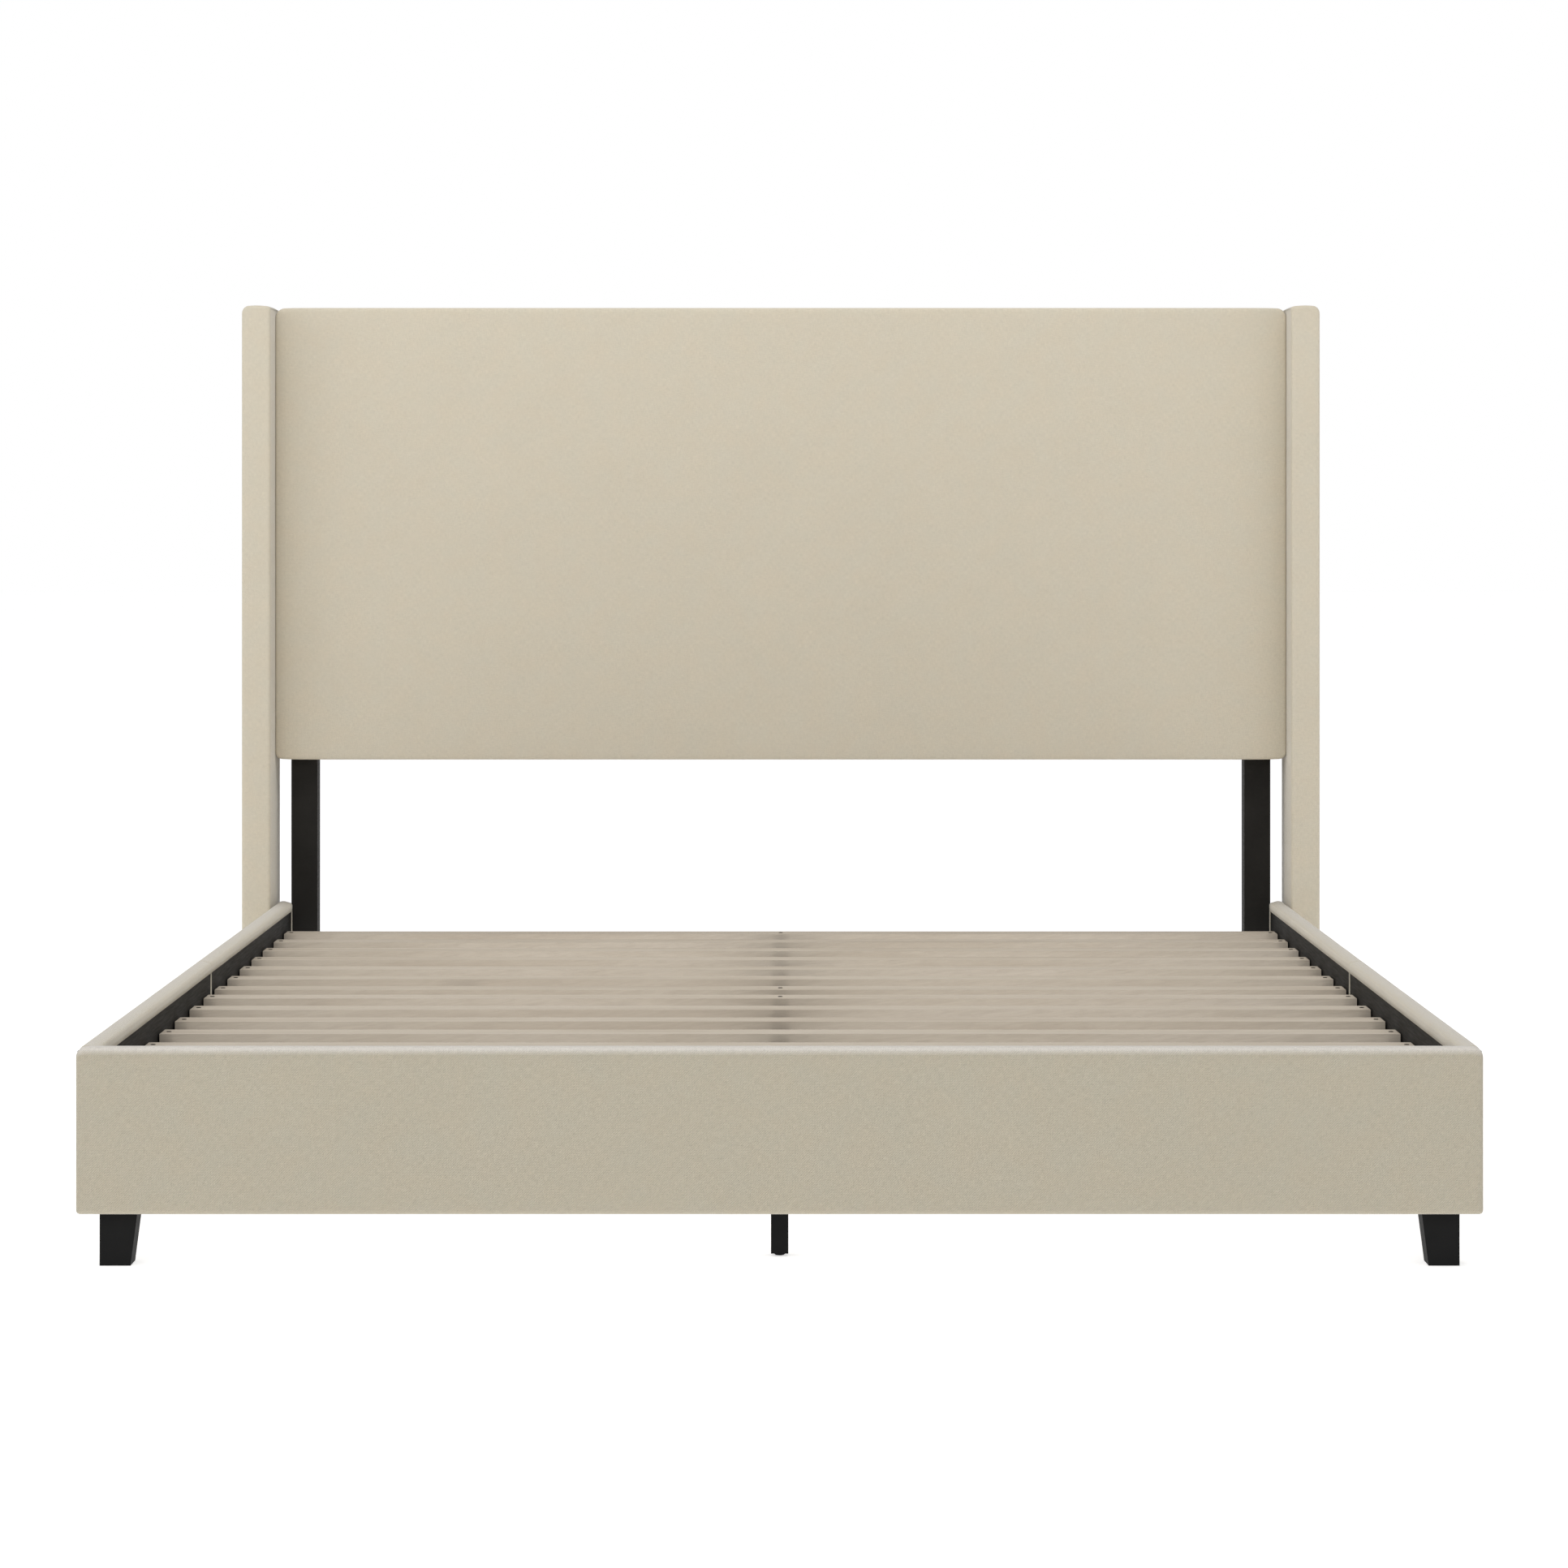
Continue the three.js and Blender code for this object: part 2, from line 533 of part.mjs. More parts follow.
// A shallow domed foot on a plain stem, standing at the floor.
function levellingFootGeometry() {
  const thickness = CENTER_LEG_BOTTOM - GAP;
  const profile = [
    [0, 0],
    [LEVELLING_FOOT_RADIUS * 0.7, 0],
    [LEVELLING_FOOT_RADIUS, thickness * 0.45],
    [LEVELLING_FOOT_RADIUS, thickness],
    [STEM_RADIUS, thickness],
    [STEM_RADIUS, STEM_TOP],
    [0, STEM_TOP],
  ];
  const points = profile.map(([radius, z]) => new THREE.Vector2(radius, z));
  return new THREE.LatheGeometry(points, ROUND_SEGMENTS).rotateX(Math.PI / 2);
}

function addCenterLegs(bed) {
  const inset = CENTER_LEG_SIZE / 2 + CENTER_LEG_MARGIN;
  const places = {
    front: SLAT_MIDDLE - BEAM_REACH + inset,
    middle: SLAT_MIDDLE - SLEEVE_LENGTH / 2 - inset,
    rear: SLAT_MIDDLE + BEAM_REACH - inset,
  };
  for (const [name, y] of Object.entries(places)) {
    const leg = new THREE.Group();
    leg.position.y = y;
    add(leg, "center_leg_" + name, "blackSteel", centerLegGeometry());
    add(leg, "levelling_foot_" + name, "blackPlastic", levellingFootGeometry());
    bed.add(leg);
  }
}

// ---------- Assembly ----------

function addSide(bed, suffix, mirror) {
  const side = new THREE.Group();
  side.scale.x = mirror;
  addHeadboardSide(side, suffix);
  addWing(side, suffix);
  addRail(side, suffix);
  addHeadBracket(side, suffix);
  addFootBracket(side, suffix);
  addFrontFoot(side, suffix);
  bed.add(side);
}

const bed = new THREE.Group();
addHeadboard(bed);
addSide(bed, "left", -1);
addSide(bed, "right", 1);
addFootboard(bed);
addSlats(bed);
addCenterBeam(bed);
addCenterLegs(bed);

export default bed;
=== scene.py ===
"""Looks for the upholstered headboard bed: soft covers, fasteners, materials, studio and camera.

Everything is in metres, in the CAD frame: the origin is on the floor under the middle of the bed,
+X is right seen from the foot, +Y is towards the headboard, and +Z is up.
"""

import math

import bpy
import numpy as np
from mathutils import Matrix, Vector, noise


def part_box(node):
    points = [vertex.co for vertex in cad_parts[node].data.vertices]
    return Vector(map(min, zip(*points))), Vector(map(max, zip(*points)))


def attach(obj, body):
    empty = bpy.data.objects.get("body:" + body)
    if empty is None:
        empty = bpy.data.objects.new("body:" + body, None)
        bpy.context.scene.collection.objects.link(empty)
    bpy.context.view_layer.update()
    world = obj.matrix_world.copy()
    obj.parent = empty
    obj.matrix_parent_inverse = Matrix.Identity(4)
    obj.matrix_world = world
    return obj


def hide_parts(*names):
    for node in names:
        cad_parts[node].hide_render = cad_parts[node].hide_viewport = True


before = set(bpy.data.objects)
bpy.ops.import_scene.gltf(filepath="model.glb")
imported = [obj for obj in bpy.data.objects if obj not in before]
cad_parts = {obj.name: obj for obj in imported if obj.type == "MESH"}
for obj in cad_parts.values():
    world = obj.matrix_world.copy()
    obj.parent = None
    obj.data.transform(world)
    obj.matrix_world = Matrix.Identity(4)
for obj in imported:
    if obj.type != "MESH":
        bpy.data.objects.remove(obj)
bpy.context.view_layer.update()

MM = 0.001
RIGID = "frame"  # the body that everything but the levelling feet belongs to
WEAVE = "weave"  # UV layer, in metres along the cloth
SIDES = {"left": -1, "right": 1}
RAIL_HALVES = [f"{side}_{end}" for side in SIDES for end in ("front", "rear")]
SLATS = [f"slat_{number:02d}" for number in range(1, 15)]
FOOT_PLACES = ("front", "middle", "rear")
UP, FORWARD, BACKWARD = (0, 0, 1), (0, -1, 0), (0, 1, 0)
ALONG_X, ALONG_Z = (1, 0, 0), (0, 0, 1)


# ---------- Camera and studio ----------

CAMERA_PLACE = (0.005, -6.315, 0.829)
CAMERA_SENSOR = 36  # mm across
CAMERA_LENS = 106.86  # mm
CAMERA_SHIFT_DOWN = -0.1597
SURROUNDINGS = 0.45  # strength of the white studio all round
FLOOR_GLOW = 0.59  # light that the lit floor gives back
FLOOR_SIZE = 60.0
LIGHTS = {  # place, what it faces, size, watts
    "top_light": ((0, -0.2, 4.5), (0, -0.2, 0), (5.0, 5.0), 84),
    "head_light": ((0, -0.6, 3.2), (0, 1.0, 0.8), (3.0, 1.5), 17),
    "left_light": ((-4.0, -0.5, 2.5), (0, 0, 0.6), (3.0, 2.0), 22),
    "front_light": ((-0.8, -6.5, 3.2), (0, 0, 0.4), (4.0, 2.5), 80),
}


def add_camera():
    data = bpy.data.cameras.new("camera")
    data.lens = CAMERA_LENS
    data.sensor_width = CAMERA_SENSOR
    data.shift_y = CAMERA_SHIFT_DOWN
    camera = bpy.data.objects.new("camera", data)
    camera.location = CAMERA_PLACE
    camera.rotation_euler = (math.radians(90), 0, 0)
    bpy.context.scene.collection.objects.link(camera)
    bpy.context.scene.camera = camera


def add_area_light(name, place, target, size, watts):
    data = bpy.data.lights.new(name, "AREA")
    data.shape = "RECTANGLE"
    data.size, data.size_y = size
    data.energy = watts
    light = bpy.data.objects.new(name, data)
    light.location = place
    direction = Vector(target) - Vector(place)
    light.rotation_euler = direction.to_track_quat("-Z", "Y").to_euler()
    bpy.context.scene.collection.objects.link(light)


def add_studio():
    world = bpy.data.worlds.new("studio")
    bpy.context.scene.world = world
    world.use_nodes = True
    tree = world.node_tree
    surroundings = tree.nodes["Background"]
    surroundings.inputs["Color"].default_value = (1, 1, 1, 1)
    surroundings.inputs["Strength"].default_value = SURROUNDINGS
    backdrop = tree.nodes.new("ShaderNodeBackground")
    backdrop.inputs["Color"].default_value = (1, 1, 1, 1)
    seen = tree.nodes.new("ShaderNodeLightPath").outputs["Is Camera Ray"]
    choice = tree.nodes.new("ShaderNodeMixShader")
    tree.links.new(seen, choice.inputs["Fac"])
    tree.links.new(surroundings.outputs[0], choice.inputs[1])
    tree.links.new(backdrop.outputs[0], choice.inputs[2])
    tree.links.new(choice.outputs[0], tree.nodes["World Output"].inputs["Surface"])
    for name, settings in LIGHTS.items():
        add_area_light(name, *settings)
    bpy.context.scene.view_settings.view_transform = "Standard"


def add_floor():
    mesh = bpy.data.meshes.new("floor")
    corners = [(-1, -1), (1, -1), (1, 1), (-1, 1)]
    mesh.from_pydata([(x * FLOOR_SIZE, y * FLOOR_SIZE, 0) for x, y in corners], [], [(0, 1, 2, 3)])
    floor = bpy.data.objects.new("floor", mesh)
    bpy.context.scene.collection.objects.link(floor)
    floor.data.materials.append(floor_material())


# ---------- Node helpers ----------


def tint(colour, factors):
    return tuple(channel * factor for channel, factor in zip(colour, factors))


class Nodes:
    """A material's node tree, with short calls for the nodes used below."""

    def __init__(self, name):
        self.material = bpy.data.materials.new(name)
        self.material.use_nodes = True
        self.tree = self.material.node_tree
        self.shader = self.tree.nodes["Principled BSDF"]

    def put(self, kind, **settings):
        node = self.tree.nodes.new(kind)
        for key, value in settings.items():
            setattr(node, key, value)
        return node

    def feed(self, socket, value):
        if isinstance(value, bpy.types.NodeSocket):
            self.tree.links.new(value, socket)
        else:
            socket.default_value = value

    def math(self, operation, first, second=0.0, third=0.0):
        node = self.put("ShaderNodeMath", operation=operation)
        for socket, value in zip(node.inputs, (first, second, third)):
            self.feed(socket, value)
        return node.outputs[0]

    def wave(self, turns):
        """A sine of a number of whole turns."""
        return self.math("SINE", self.math("MULTIPLY", turns, 2 * math.pi))

    def noise(self, vector, scale, detail=2.0, roughness=0.5, distortion=0.0, output="Fac"):
        node = self.put("ShaderNodeTexNoise")
        self.feed(node.inputs["Vector"], vector)
        node.inputs["Scale"].default_value = scale
        node.inputs["Detail"].default_value = detail
        node.inputs["Roughness"].default_value = roughness
        node.inputs["Distortion"].default_value = distortion
        return node.outputs[output]

    def stretch(self, vector, scale):
        node = self.put("ShaderNodeVectorMath", operation="MULTIPLY")
        self.feed(node.inputs[0], vector)
        node.inputs[1].default_value = scale
        return node.outputs[0]

    def scale(self, vector, factor):
        node = self.put("ShaderNodeVectorMath", operation="SCALE")
        self.feed(node.inputs[0], vector)
        self.feed(node.inputs["Scale"], factor)
        return node.outputs[0]

    def shift(self, vector, offset):
        node = self.put("ShaderNodeVectorMath", operation="ADD")
        self.feed(node.inputs[0], vector)
        self.feed(node.inputs[1], offset)
        return node.outputs[0]

    def lean(self, vector):
        """Turned a little about Y and Z, for grain that runs out of a board's faces."""
        node = self.put("ShaderNodeMapping")
        self.feed(node.inputs["Vector"], vector)
        node.inputs["Rotation"].default_value = (0, math.radians(7), math.radians(3))
        return node.outputs["Vector"]

    def split(self, vector):
        node = self.put("ShaderNodeSeparateXYZ")
        self.feed(node.inputs[0], vector)
        return node.outputs

    def ramp(self, factor, stops):
        node = self.put("ShaderNodeValToRGB")
        self.feed(node.inputs["Fac"], factor)
        elements = node.color_ramp.elements
        while len(elements) < len(stops):
            elements.new(0.5)
        for element, (position, colour) in zip(elements, stops):
            element.position = position
            element.color = (*colour, 1)
        return node.outputs["Color"]

    def mix(self, factor, first, second):
        node = self.put("ShaderNodeMix", data_type="RGBA")
        self.feed(node.inputs["Factor"], factor)
        self.feed(node.inputs["A"], (*first, 1) if isinstance(first, tuple) else first)
        self.feed(node.inputs["B"], (*second, 1) if isinstance(second, tuple) else second)
        return node.outputs["Result"]

    def bump(self, height, distance, strength=1.0, normal=None):
        node = self.put("ShaderNodeBump")
        self.feed(node.inputs["Height"], height)
        node.inputs["Distance"].default_value = distance
        node.inputs["Strength"].default_value = strength
        if normal is not None:
            self.feed(node.inputs["Normal"], normal)
        return node.outputs["Normal"]

    def range(self, value, low, high, new_low, new_high):
        node = self.put("ShaderNodeMapRange")
        for socket, item in zip(node.inputs, (value, low, high, new_low, new_high)):
            self.feed(socket, item)
        return node.outputs["Result"]

    def object_space(self):
        return self.put("ShaderNodeTexCoord").outputs["Object"]

    def cloth_space(self):
        return self.put("ShaderNodeUVMap", uv_map=WEAVE).outputs["UV"]

    def set(self, **inputs):
        for key, value in inputs.items():
            self.feed(self.shader.inputs[key.replace("_", " ")], value)


# ---------- Materials ----------


def floor_material():
    nodes = Nodes("studio_floor")
    grain = nodes.noise(nodes.object_space(), 3.0)
    nodes.set(
        Base_Color=nodes.ramp(grain, [(0.0, (0.90, 0.90, 0.90)), (1.0, (0.92, 0.92, 0.92))]),
        Roughness=0.9,
        Emission_Color=(1.0, 1.0, 1.0, 1.0),
        Emission_Strength=FLOOR_GLOW,
    )
    return nodes.material


PAINTED_TOP_LIGHT_COLOUR = (0.70, 0.665, 0.615)  # painted top light: a paler colour where the cloth faces up, standing in for light on its nap


def weave_height(nodes, across, along):
    """Height of a plain weave: warp and weft threads pass over each other in turn."""
    heights = []
    for thread, crossing, start in ((across, along, 0.0), (along, across, 1.0)):
        roundness = nodes.math("ABSOLUTE", nodes.wave(nodes.math("MULTIPLY", thread, 0.5)))
        lane = nodes.math("ADD", nodes.math("FLOOR", thread), start)
        over = nodes.wave(nodes.math("MULTIPLY", nodes.math("ADD", crossing, lane), 0.5))
        heights.append(nodes.math("MULTIPLY", roundness, nodes.math("MULTIPLY_ADD", over, 0.32, 0.68)))
    return nodes.math("MAXIMUM", *heights)


def fabric_material(name, colour, thread, rib, rib_contrast, contrast, painted_top_light):
    """Woven upholstery: threads, broken diagonal ribs, slubs, an uneven dye, painted shade and highlight in
    the weave, and painted top light where the cloth faces up.

    thread and rib are the pitches of the weave and of the ribs, in metres. rib_contrast and contrast are
    how strongly the ribs and the threads shade it, as painted shade between the threads and in the ribs'
    hollows and a painted highlight on the raised threads. The last argument is how far up the surface
    faces where the painted top light begins, the same where it is full, and its strength there. Noise
    scales are in features per metre.
    """
    nodes = Nodes(name)
    cloth = nodes.cloth_space()
    wander = nodes.noise(cloth, 90.0, 1.0, output="Color")
    bent = nodes.shift(cloth, nodes.stretch(wander, (1.2 * MM, 1.2 * MM, 0)))
    across, along, _ = nodes.split(bent)
    height = weave_height(
        nodes, nodes.math("DIVIDE", across, thread), nodes.math("DIVIDE", along, thread)
    )
    ribs = nodes.wave(nodes.math("DIVIDE", nodes.math("SUBTRACT", across, along), rib))
    broken = nodes.range(nodes.noise(cloth, 260.0, 2.0), 0.35, 0.65, 0.55, 1.0)
    ribs = nodes.math("MULTIPLY", ribs, broken)

    slub_across = nodes.noise(nodes.stretch(cloth, (140.0, 900.0, 1)), 1.0)
    slub_along = nodes.noise(nodes.stretch(cloth, (900.0, 140.0, 1)), 1.0)
    slub = nodes.math("ADD", slub_across, slub_along)
    fleck = nodes.noise(cloth, 420.0, 3.0, 0.65)
    fuzz = nodes.noise(cloth, 1500.0, 2.0, 0.7)
    dye = nodes.noise(cloth, 9.0, 3.0, 0.55)
    hue = nodes.noise(cloth, 26.0, 2.0, 0.5)

    # Painted shade and highlight: the weave's height darkens the colour between the threads and lightens it
    # on the raised threads, and the ribs darken their hollows. The slubs, flecks, fuzz and dye below are the
    # cloth's own uneven tone.
    shade = nodes.math("MULTIPLY_ADD", height, contrast, 1.0 - 0.62 * contrast)
    shade = nodes.math("MULTIPLY", shade, nodes.math("MULTIPLY_ADD", ribs, rib_contrast, 1.0))
    for pattern, low, high, spread in (
        (slub, 0.6, 1.4, contrast),
        (fleck, 0.3, 0.7, 0.020),
        (fuzz, 0.3, 0.7, 0.020),
        (dye, 0.3, 0.7, 0.008),
    ):
        shade = nodes.math("MULTIPLY", shade, nodes.range(pattern, low, high, 1.0 - spread, 1.0 + spread))
    warm = tint(colour, (1.008, 0.999, 0.990))
    cool = tint(colour, (0.993, 1.002, 1.008))
    cloth_colour = nodes.mix(nodes.range(hue, 0.35, 0.65, 0.0, 1.0), warm, cool)
    # Painted top light: the colour is mixed towards a paler one the more the surface faces up.
    facing_up = nodes.split(nodes.put("ShaderNodeNewGeometry").outputs["Normal"])["Z"]
    painted_light_start, painted_light_full, strength = painted_top_light
    cloth_colour = nodes.mix(nodes.range(facing_up, painted_light_start, painted_light_full, 0.0, strength), cloth_colour, PAINTED_TOP_LIGHT_COLOUR)

    threads = nodes.bump(height, 0.35 * MM, 0.7)
    raised = nodes.bump(ribs, 0.20 * MM, 0.6, threads)
    nodes.set(
        Base_Color=nodes.scale(cloth_colour, shade),
        Roughness=0.92,
        Sheen_Weight=0.60,
        Sheen_Roughness=0.28,
        Sheen_Tint=(1.0, 1.0, 1.0, 1.0),
        Specular_IOR_Level=0.18,
        Normal=nodes.bump(nodes.math("ADD", slub, fuzz), 0.12 * MM, 0.5, raised),
    )
    return nodes.material


SLAT_PITCH = 0.1467
SLAT_STEP_START = 2.0  # where the steps in Y that give each slat its own cut are counted from
CUT_SHIFT_X, CUT_SHIFT_Z = 37.0, 11.0  # how far the grain moves from one cut to the next


def slat_material():
    """Pale, slightly grey wood with its grain along X, and a different cut for each slat."""
    nodes = Nodes("slat_wood")
    place = nodes.object_space()
    run = nodes.math("ADD", nodes.split(place)["Y"], SLAT_STEP_START)
    step = nodes.math("SNAP", run, SLAT_PITCH)
    offset = nodes.put("ShaderNodeCombineXYZ")
    nodes.feed(offset.inputs["X"], nodes.math("MULTIPLY", step, CUT_SHIFT_X))
    nodes.feed(offset.inputs["Z"], nodes.math("MULTIPLY", step, CUT_SHIFT_Z))
    own = nodes.shift(place, offset.outputs[0])
    figure = nodes.noise(nodes.stretch(own, (2.2, 14.0, 14.0)), 1.0, 3.0, 0.55, 0.5)
    wisps = nodes.noise(nodes.stretch(nodes.lean(own), (20.0, 150.0, 150.0)), 1.0, 3.0, 0.6, 0.8)
    grain = nodes.noise(nodes.stretch(nodes.lean(own), (14.0, 520.0, 520.0)), 1.0, 4.0, 0.65)
    pores = nodes.noise(nodes.stretch(own, (60.0, 1600.0, 1600.0)), 1.0, 2.0, 0.6)
    knots = nodes.noise(nodes.stretch(own, (5.0, 22.0, 22.0)), 1.0, 2.0, 0.5)
    colour = nodes.ramp(
        figure, [(0.32, (0.480, 0.415, 0.335)), (0.50, (0.535, 0.472, 0.388)), (0.68, (0.560, 0.498, 0.418))]
    )
    colour = nodes.mix(nodes.range(wisps, 0.42, 0.72, 0.0, 0.30), colour, (0.39, 0.33, 0.265))
    colour = nodes.mix(nodes.range(grain, 0.40, 0.75, 0.0, 0.22), colour, (0.38, 0.32, 0.26))
    colour = nodes.mix(nodes.range(knots, 0.66, 0.80, 0.0, 0.45), colour, (0.33, 0.29, 0.245))
    colour = nodes.mix(nodes.range(pores, 0.62, 0.75, 0.0, 0.25), colour, (0.28, 0.23, 0.18))
    nodes.set(
        Base_Color=colour,
        Roughness=nodes.range(grain, 0.3, 0.7, 0.55, 0.72),
        Specular_IOR_Level=0.3,
        Normal=nodes.bump(nodes.math("ADD", grain, pores), 0.2 * MM, 0.5),
    )
    return nodes.material


def black_board_material():
    """Board wrapped in black film, with a faint embossed grain."""
    nodes = Nodes("black_board")
    place = nodes.object_space()
    grain = nodes.noise(nodes.stretch(place, (420.0, 18.0, 420.0)), 1.0, 3.0, 0.6)
    dust = nodes.noise(place, 14.0, 3.0, 0.6)
    nodes.set(
        Base_Color=nodes.ramp(dust, [(0.35, (0.0145, 0.0135, 0.0122)), (0.70, (0.0200, 0.0188, 0.0172))]),
        Roughness=nodes.range(grain, 0.3, 0.7, 0.60, 0.76),
        Specular_IOR_Level=0.12,
        Normal=nodes.bump(grain, 0.15 * MM, 0.5),
    )
    return nodes.material


def black_steel_material():
    """Black powder coat with a fine orange peel."""
    nodes = Nodes("black_steel")
    place = nodes.object_space()
    peel = nodes.noise(place, 650.0)
    nodes.set(
        Base_Color=nodes.mix(nodes.noise(place, 20.0), (0.007, 0.007, 0.0073), (0.010, 0.010, 0.010)),
        Roughness=nodes.range(peel, 0.3, 0.7, 0.45, 0.60),
        Specular_IOR_Level=0.1,
        Normal=nodes.bump(peel, 0.12 * MM, 0.5),
    )
    return nodes.material


def black_plastic_material():
    """Moulded black plastic with a fine spark-eroded texture."""
    nodes = Nodes("black_plastic")
    place = nodes.object_space()
    texture = nodes.noise(place, 1100.0, 2.0, 0.6)
    nodes.set(
        Base_Color=nodes.mix(nodes.noise(place, 35.0), (0.0085, 0.0085, 0.0085), (0.0115, 0.0115, 0.0115)),
        Roughness=nodes.range(texture, 0.3, 0.7, 0.55, 0.70),
        Specular_IOR_Level=0.09,
        Normal=nodes.bump(texture, 0.1 * MM, 0.5),
    )
    return nodes.material


def zinc_material():
    """Zinc-plated bolts, threads and staples, slightly dulled."""
    nodes = Nodes("zinc")
    dull = nodes.noise(nodes.object_space(), 400.0, 3.0, 0.6)
    nodes.set(
        Base_Color=nodes.mix(dull, (0.50, 0.50, 0.49), (0.66, 0.66, 0.65)),
        Metallic=1.0,
        Roughness=nodes.range(dull, 0.3, 0.7, 0.28, 0.48),
    )
    return nodes.material


def dark_screw_material():
    """Dark phosphated screw heads."""
    nodes = Nodes("dark_screw")
    dull = nodes.noise(nodes.object_space(), 900.0, 3.0, 0.6)
    nodes.set(
        Base_Color=nodes.mix(dull, (0.018, 0.015, 0.013), (0.034, 0.029, 0.024)),
        Metallic=0.4,
        Roughness=nodes.range(dull, 0.3, 0.7, 0.50, 0.65),
        Specular_IOR_Level=0.15,
    )
    return nodes.material


def back_cloth_material():
    """Black non-woven cloth: a fine felted surface with a pressed dot pattern."""
    nodes = Nodes("back_cloth")
    cloth = nodes.cloth_space()
    fibres = nodes.noise(cloth, 700.0, 4.0, 0.75, 1.5)
    dots = nodes.put("ShaderNodeTexVoronoi", feature="F1")
    nodes.feed(dots.inputs["Vector"], cloth)
    dots.inputs["Scale"].default_value = 420.0
    dots.inputs["Randomness"].default_value = 0.15
    pressed = nodes.range(dots.outputs["Distance"], 0.15, 0.35, 0.0, 1.0)
    nodes.set(
        Base_Color=nodes.mix(fibres, (0.020, 0.020, 0.020), (0.042, 0.041, 0.040)),
        Roughness=0.9,
        Sheen_Weight=0.15,
        Specular_IOR_Level=0.2,
        Normal=nodes.bump(nodes.math("ADD", pressed, fibres), 0.15 * MM, 0.6),
    )
    return nodes.material


def plywood_material():
    """Raw plywood for the headboard's hidden frame."""
    nodes = Nodes("plywood")
    grain = nodes.noise(nodes.stretch(nodes.object_space(), (8.0, 160.0, 160.0)), 1.0, 4.0, 0.6)
    nodes.set(
        Base_Color=nodes.ramp(grain, [(0.3, (0.42, 0.29, 0.16)), (0.7, (0.60, 0.45, 0.28))]),
        Roughness=0.75,
        Normal=nodes.bump(grain, 0.2 * MM, 0.5),
    )
    return nodes.material


MATERIALS = {
    "upholstery_fabric": fabric_material(
        "upholstery_fabric",
        colour=(0.586, 0.533, 0.429),
        thread=1.6 * MM,
        rib=2.6 * MM,
        rib_contrast=0.030,
        contrast=0.09,
        # painted top light, only where the surface faces nearly straight up
        painted_top_light=(0.90, 0.99, 0.5),
    ),
    # The headboard's cloth again, on the footboard.
    "footboard_fabric": fabric_material(
        "footboard_fabric",
        # painted shade: the upholstery fabric's colour, darkened for the footboard's face
        colour=(0.445, 0.404, 0.320),
        thread=1.9 * MM,
        rib=2.8 * MM,
        rib_contrast=0.110,
        contrast=0.12,
        # painted top light, stronger, and beginning where the surface faces up only a little
        painted_top_light=(0.15, 0.75, 0.85),
    ),
    "back_cloth": back_cloth_material(),
    "plywood": plywood_material(),
    "slat_wood": slat_material(),
    "black_board": black_board_material(),
    "black_steel": black_steel_material(),
    "black_plastic": black_plastic_material(),
    "zinc": zinc_material(),
    "dark_screw": dark_screw_material(),
}


# ---------- Mesh helpers ----------


def make_piece(name, points, faces, material, body=RIGID, cloth=None):
    """A named mesh that rides on a body. cloth holds a place on the flat cloth for each point, in metres."""
    mesh = bpy.data.meshes.new(name)
    mesh.from_pydata([tuple(point) for point in points], [], faces)
    mesh.update()
    if cloth is not None:
        layer = mesh.uv_layers.new(name=WEAVE)
        indices = np.empty(len(mesh.loops), int)
        mesh.loops.foreach_get("vertex_index", indices)
        layer.data.foreach_set("uv", np.asarray(cloth, float)[indices].ravel())
    mesh.polygons.foreach_set("use_smooth", [True] * len(mesh.polygons))
    mesh.materials.append(MATERIALS[material])
    piece = bpy.data.objects.new(name, mesh)
    bpy.context.scene.collection.objects.link(piece)
    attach(piece, body)
    return piece


def thicken(piece, thickness):
    """Gives a sheet its thickness behind the surface it was drawn with."""
    solidify = piece.modifiers.new("thickness", "SOLIDIFY")
    solidify.thickness = thickness
    solidify.offset = -1
    bpy.context.view_layer.update()
    graph = bpy.context.evaluated_depsgraph_get()
    solid = bpy.data.meshes.new_from_object(piece.evaluated_get(graph))
    piece.modifiers.remove(solidify)
    piece.data = solid


def shade_flat(piece):
    piece.data.polygons.foreach_set("use_smooth", [False] * len(piece.data.polygons))


def ease_edges(piece, width):
    bevel = piece.modifiers.new("eased_edges", "BEVEL")
    bevel.width = width
    bevel.segments = 2
    bevel.limit_method = "ANGLE"
    bevel.angle_limit = math.radians(40)


def grid_faces(rows, columns):
    """Quads between rows of points that each hold the same number of columns."""
    faces = []
    for row in range(rows - 1):
        for low in range(row * columns, (row + 1) * columns - 1):
            high = low + columns
            faces.append((low, low + 1, high + 1, high))
    return faces


def arc(centre, radius, start, end, steps):
    """Points on an arc in a plane, angles in degrees."""
    angles = np.radians(np.linspace(start, end, steps + 1))
    return [(centre[0] + radius * math.cos(a), centre[1] + radius * math.sin(a)) for a in angles]


def lengths_along(points):
    steps = np.linalg.norm(np.diff(np.asarray(points, float), axis=0), axis=1)
    return np.concatenate([[0.0], np.cumsum(steps)])


def clamp(value, low, high):
    return min(max(value, low), high)


def ripple(place, size):
    """Smooth noise between -1 and 1, the same on every run."""
    return noise.noise(Vector(place) / size)


# ---------- Cloth under the push of its padding ----------

CLOTH_STEPS = 20
PADDING_PRESSURE = 4.0


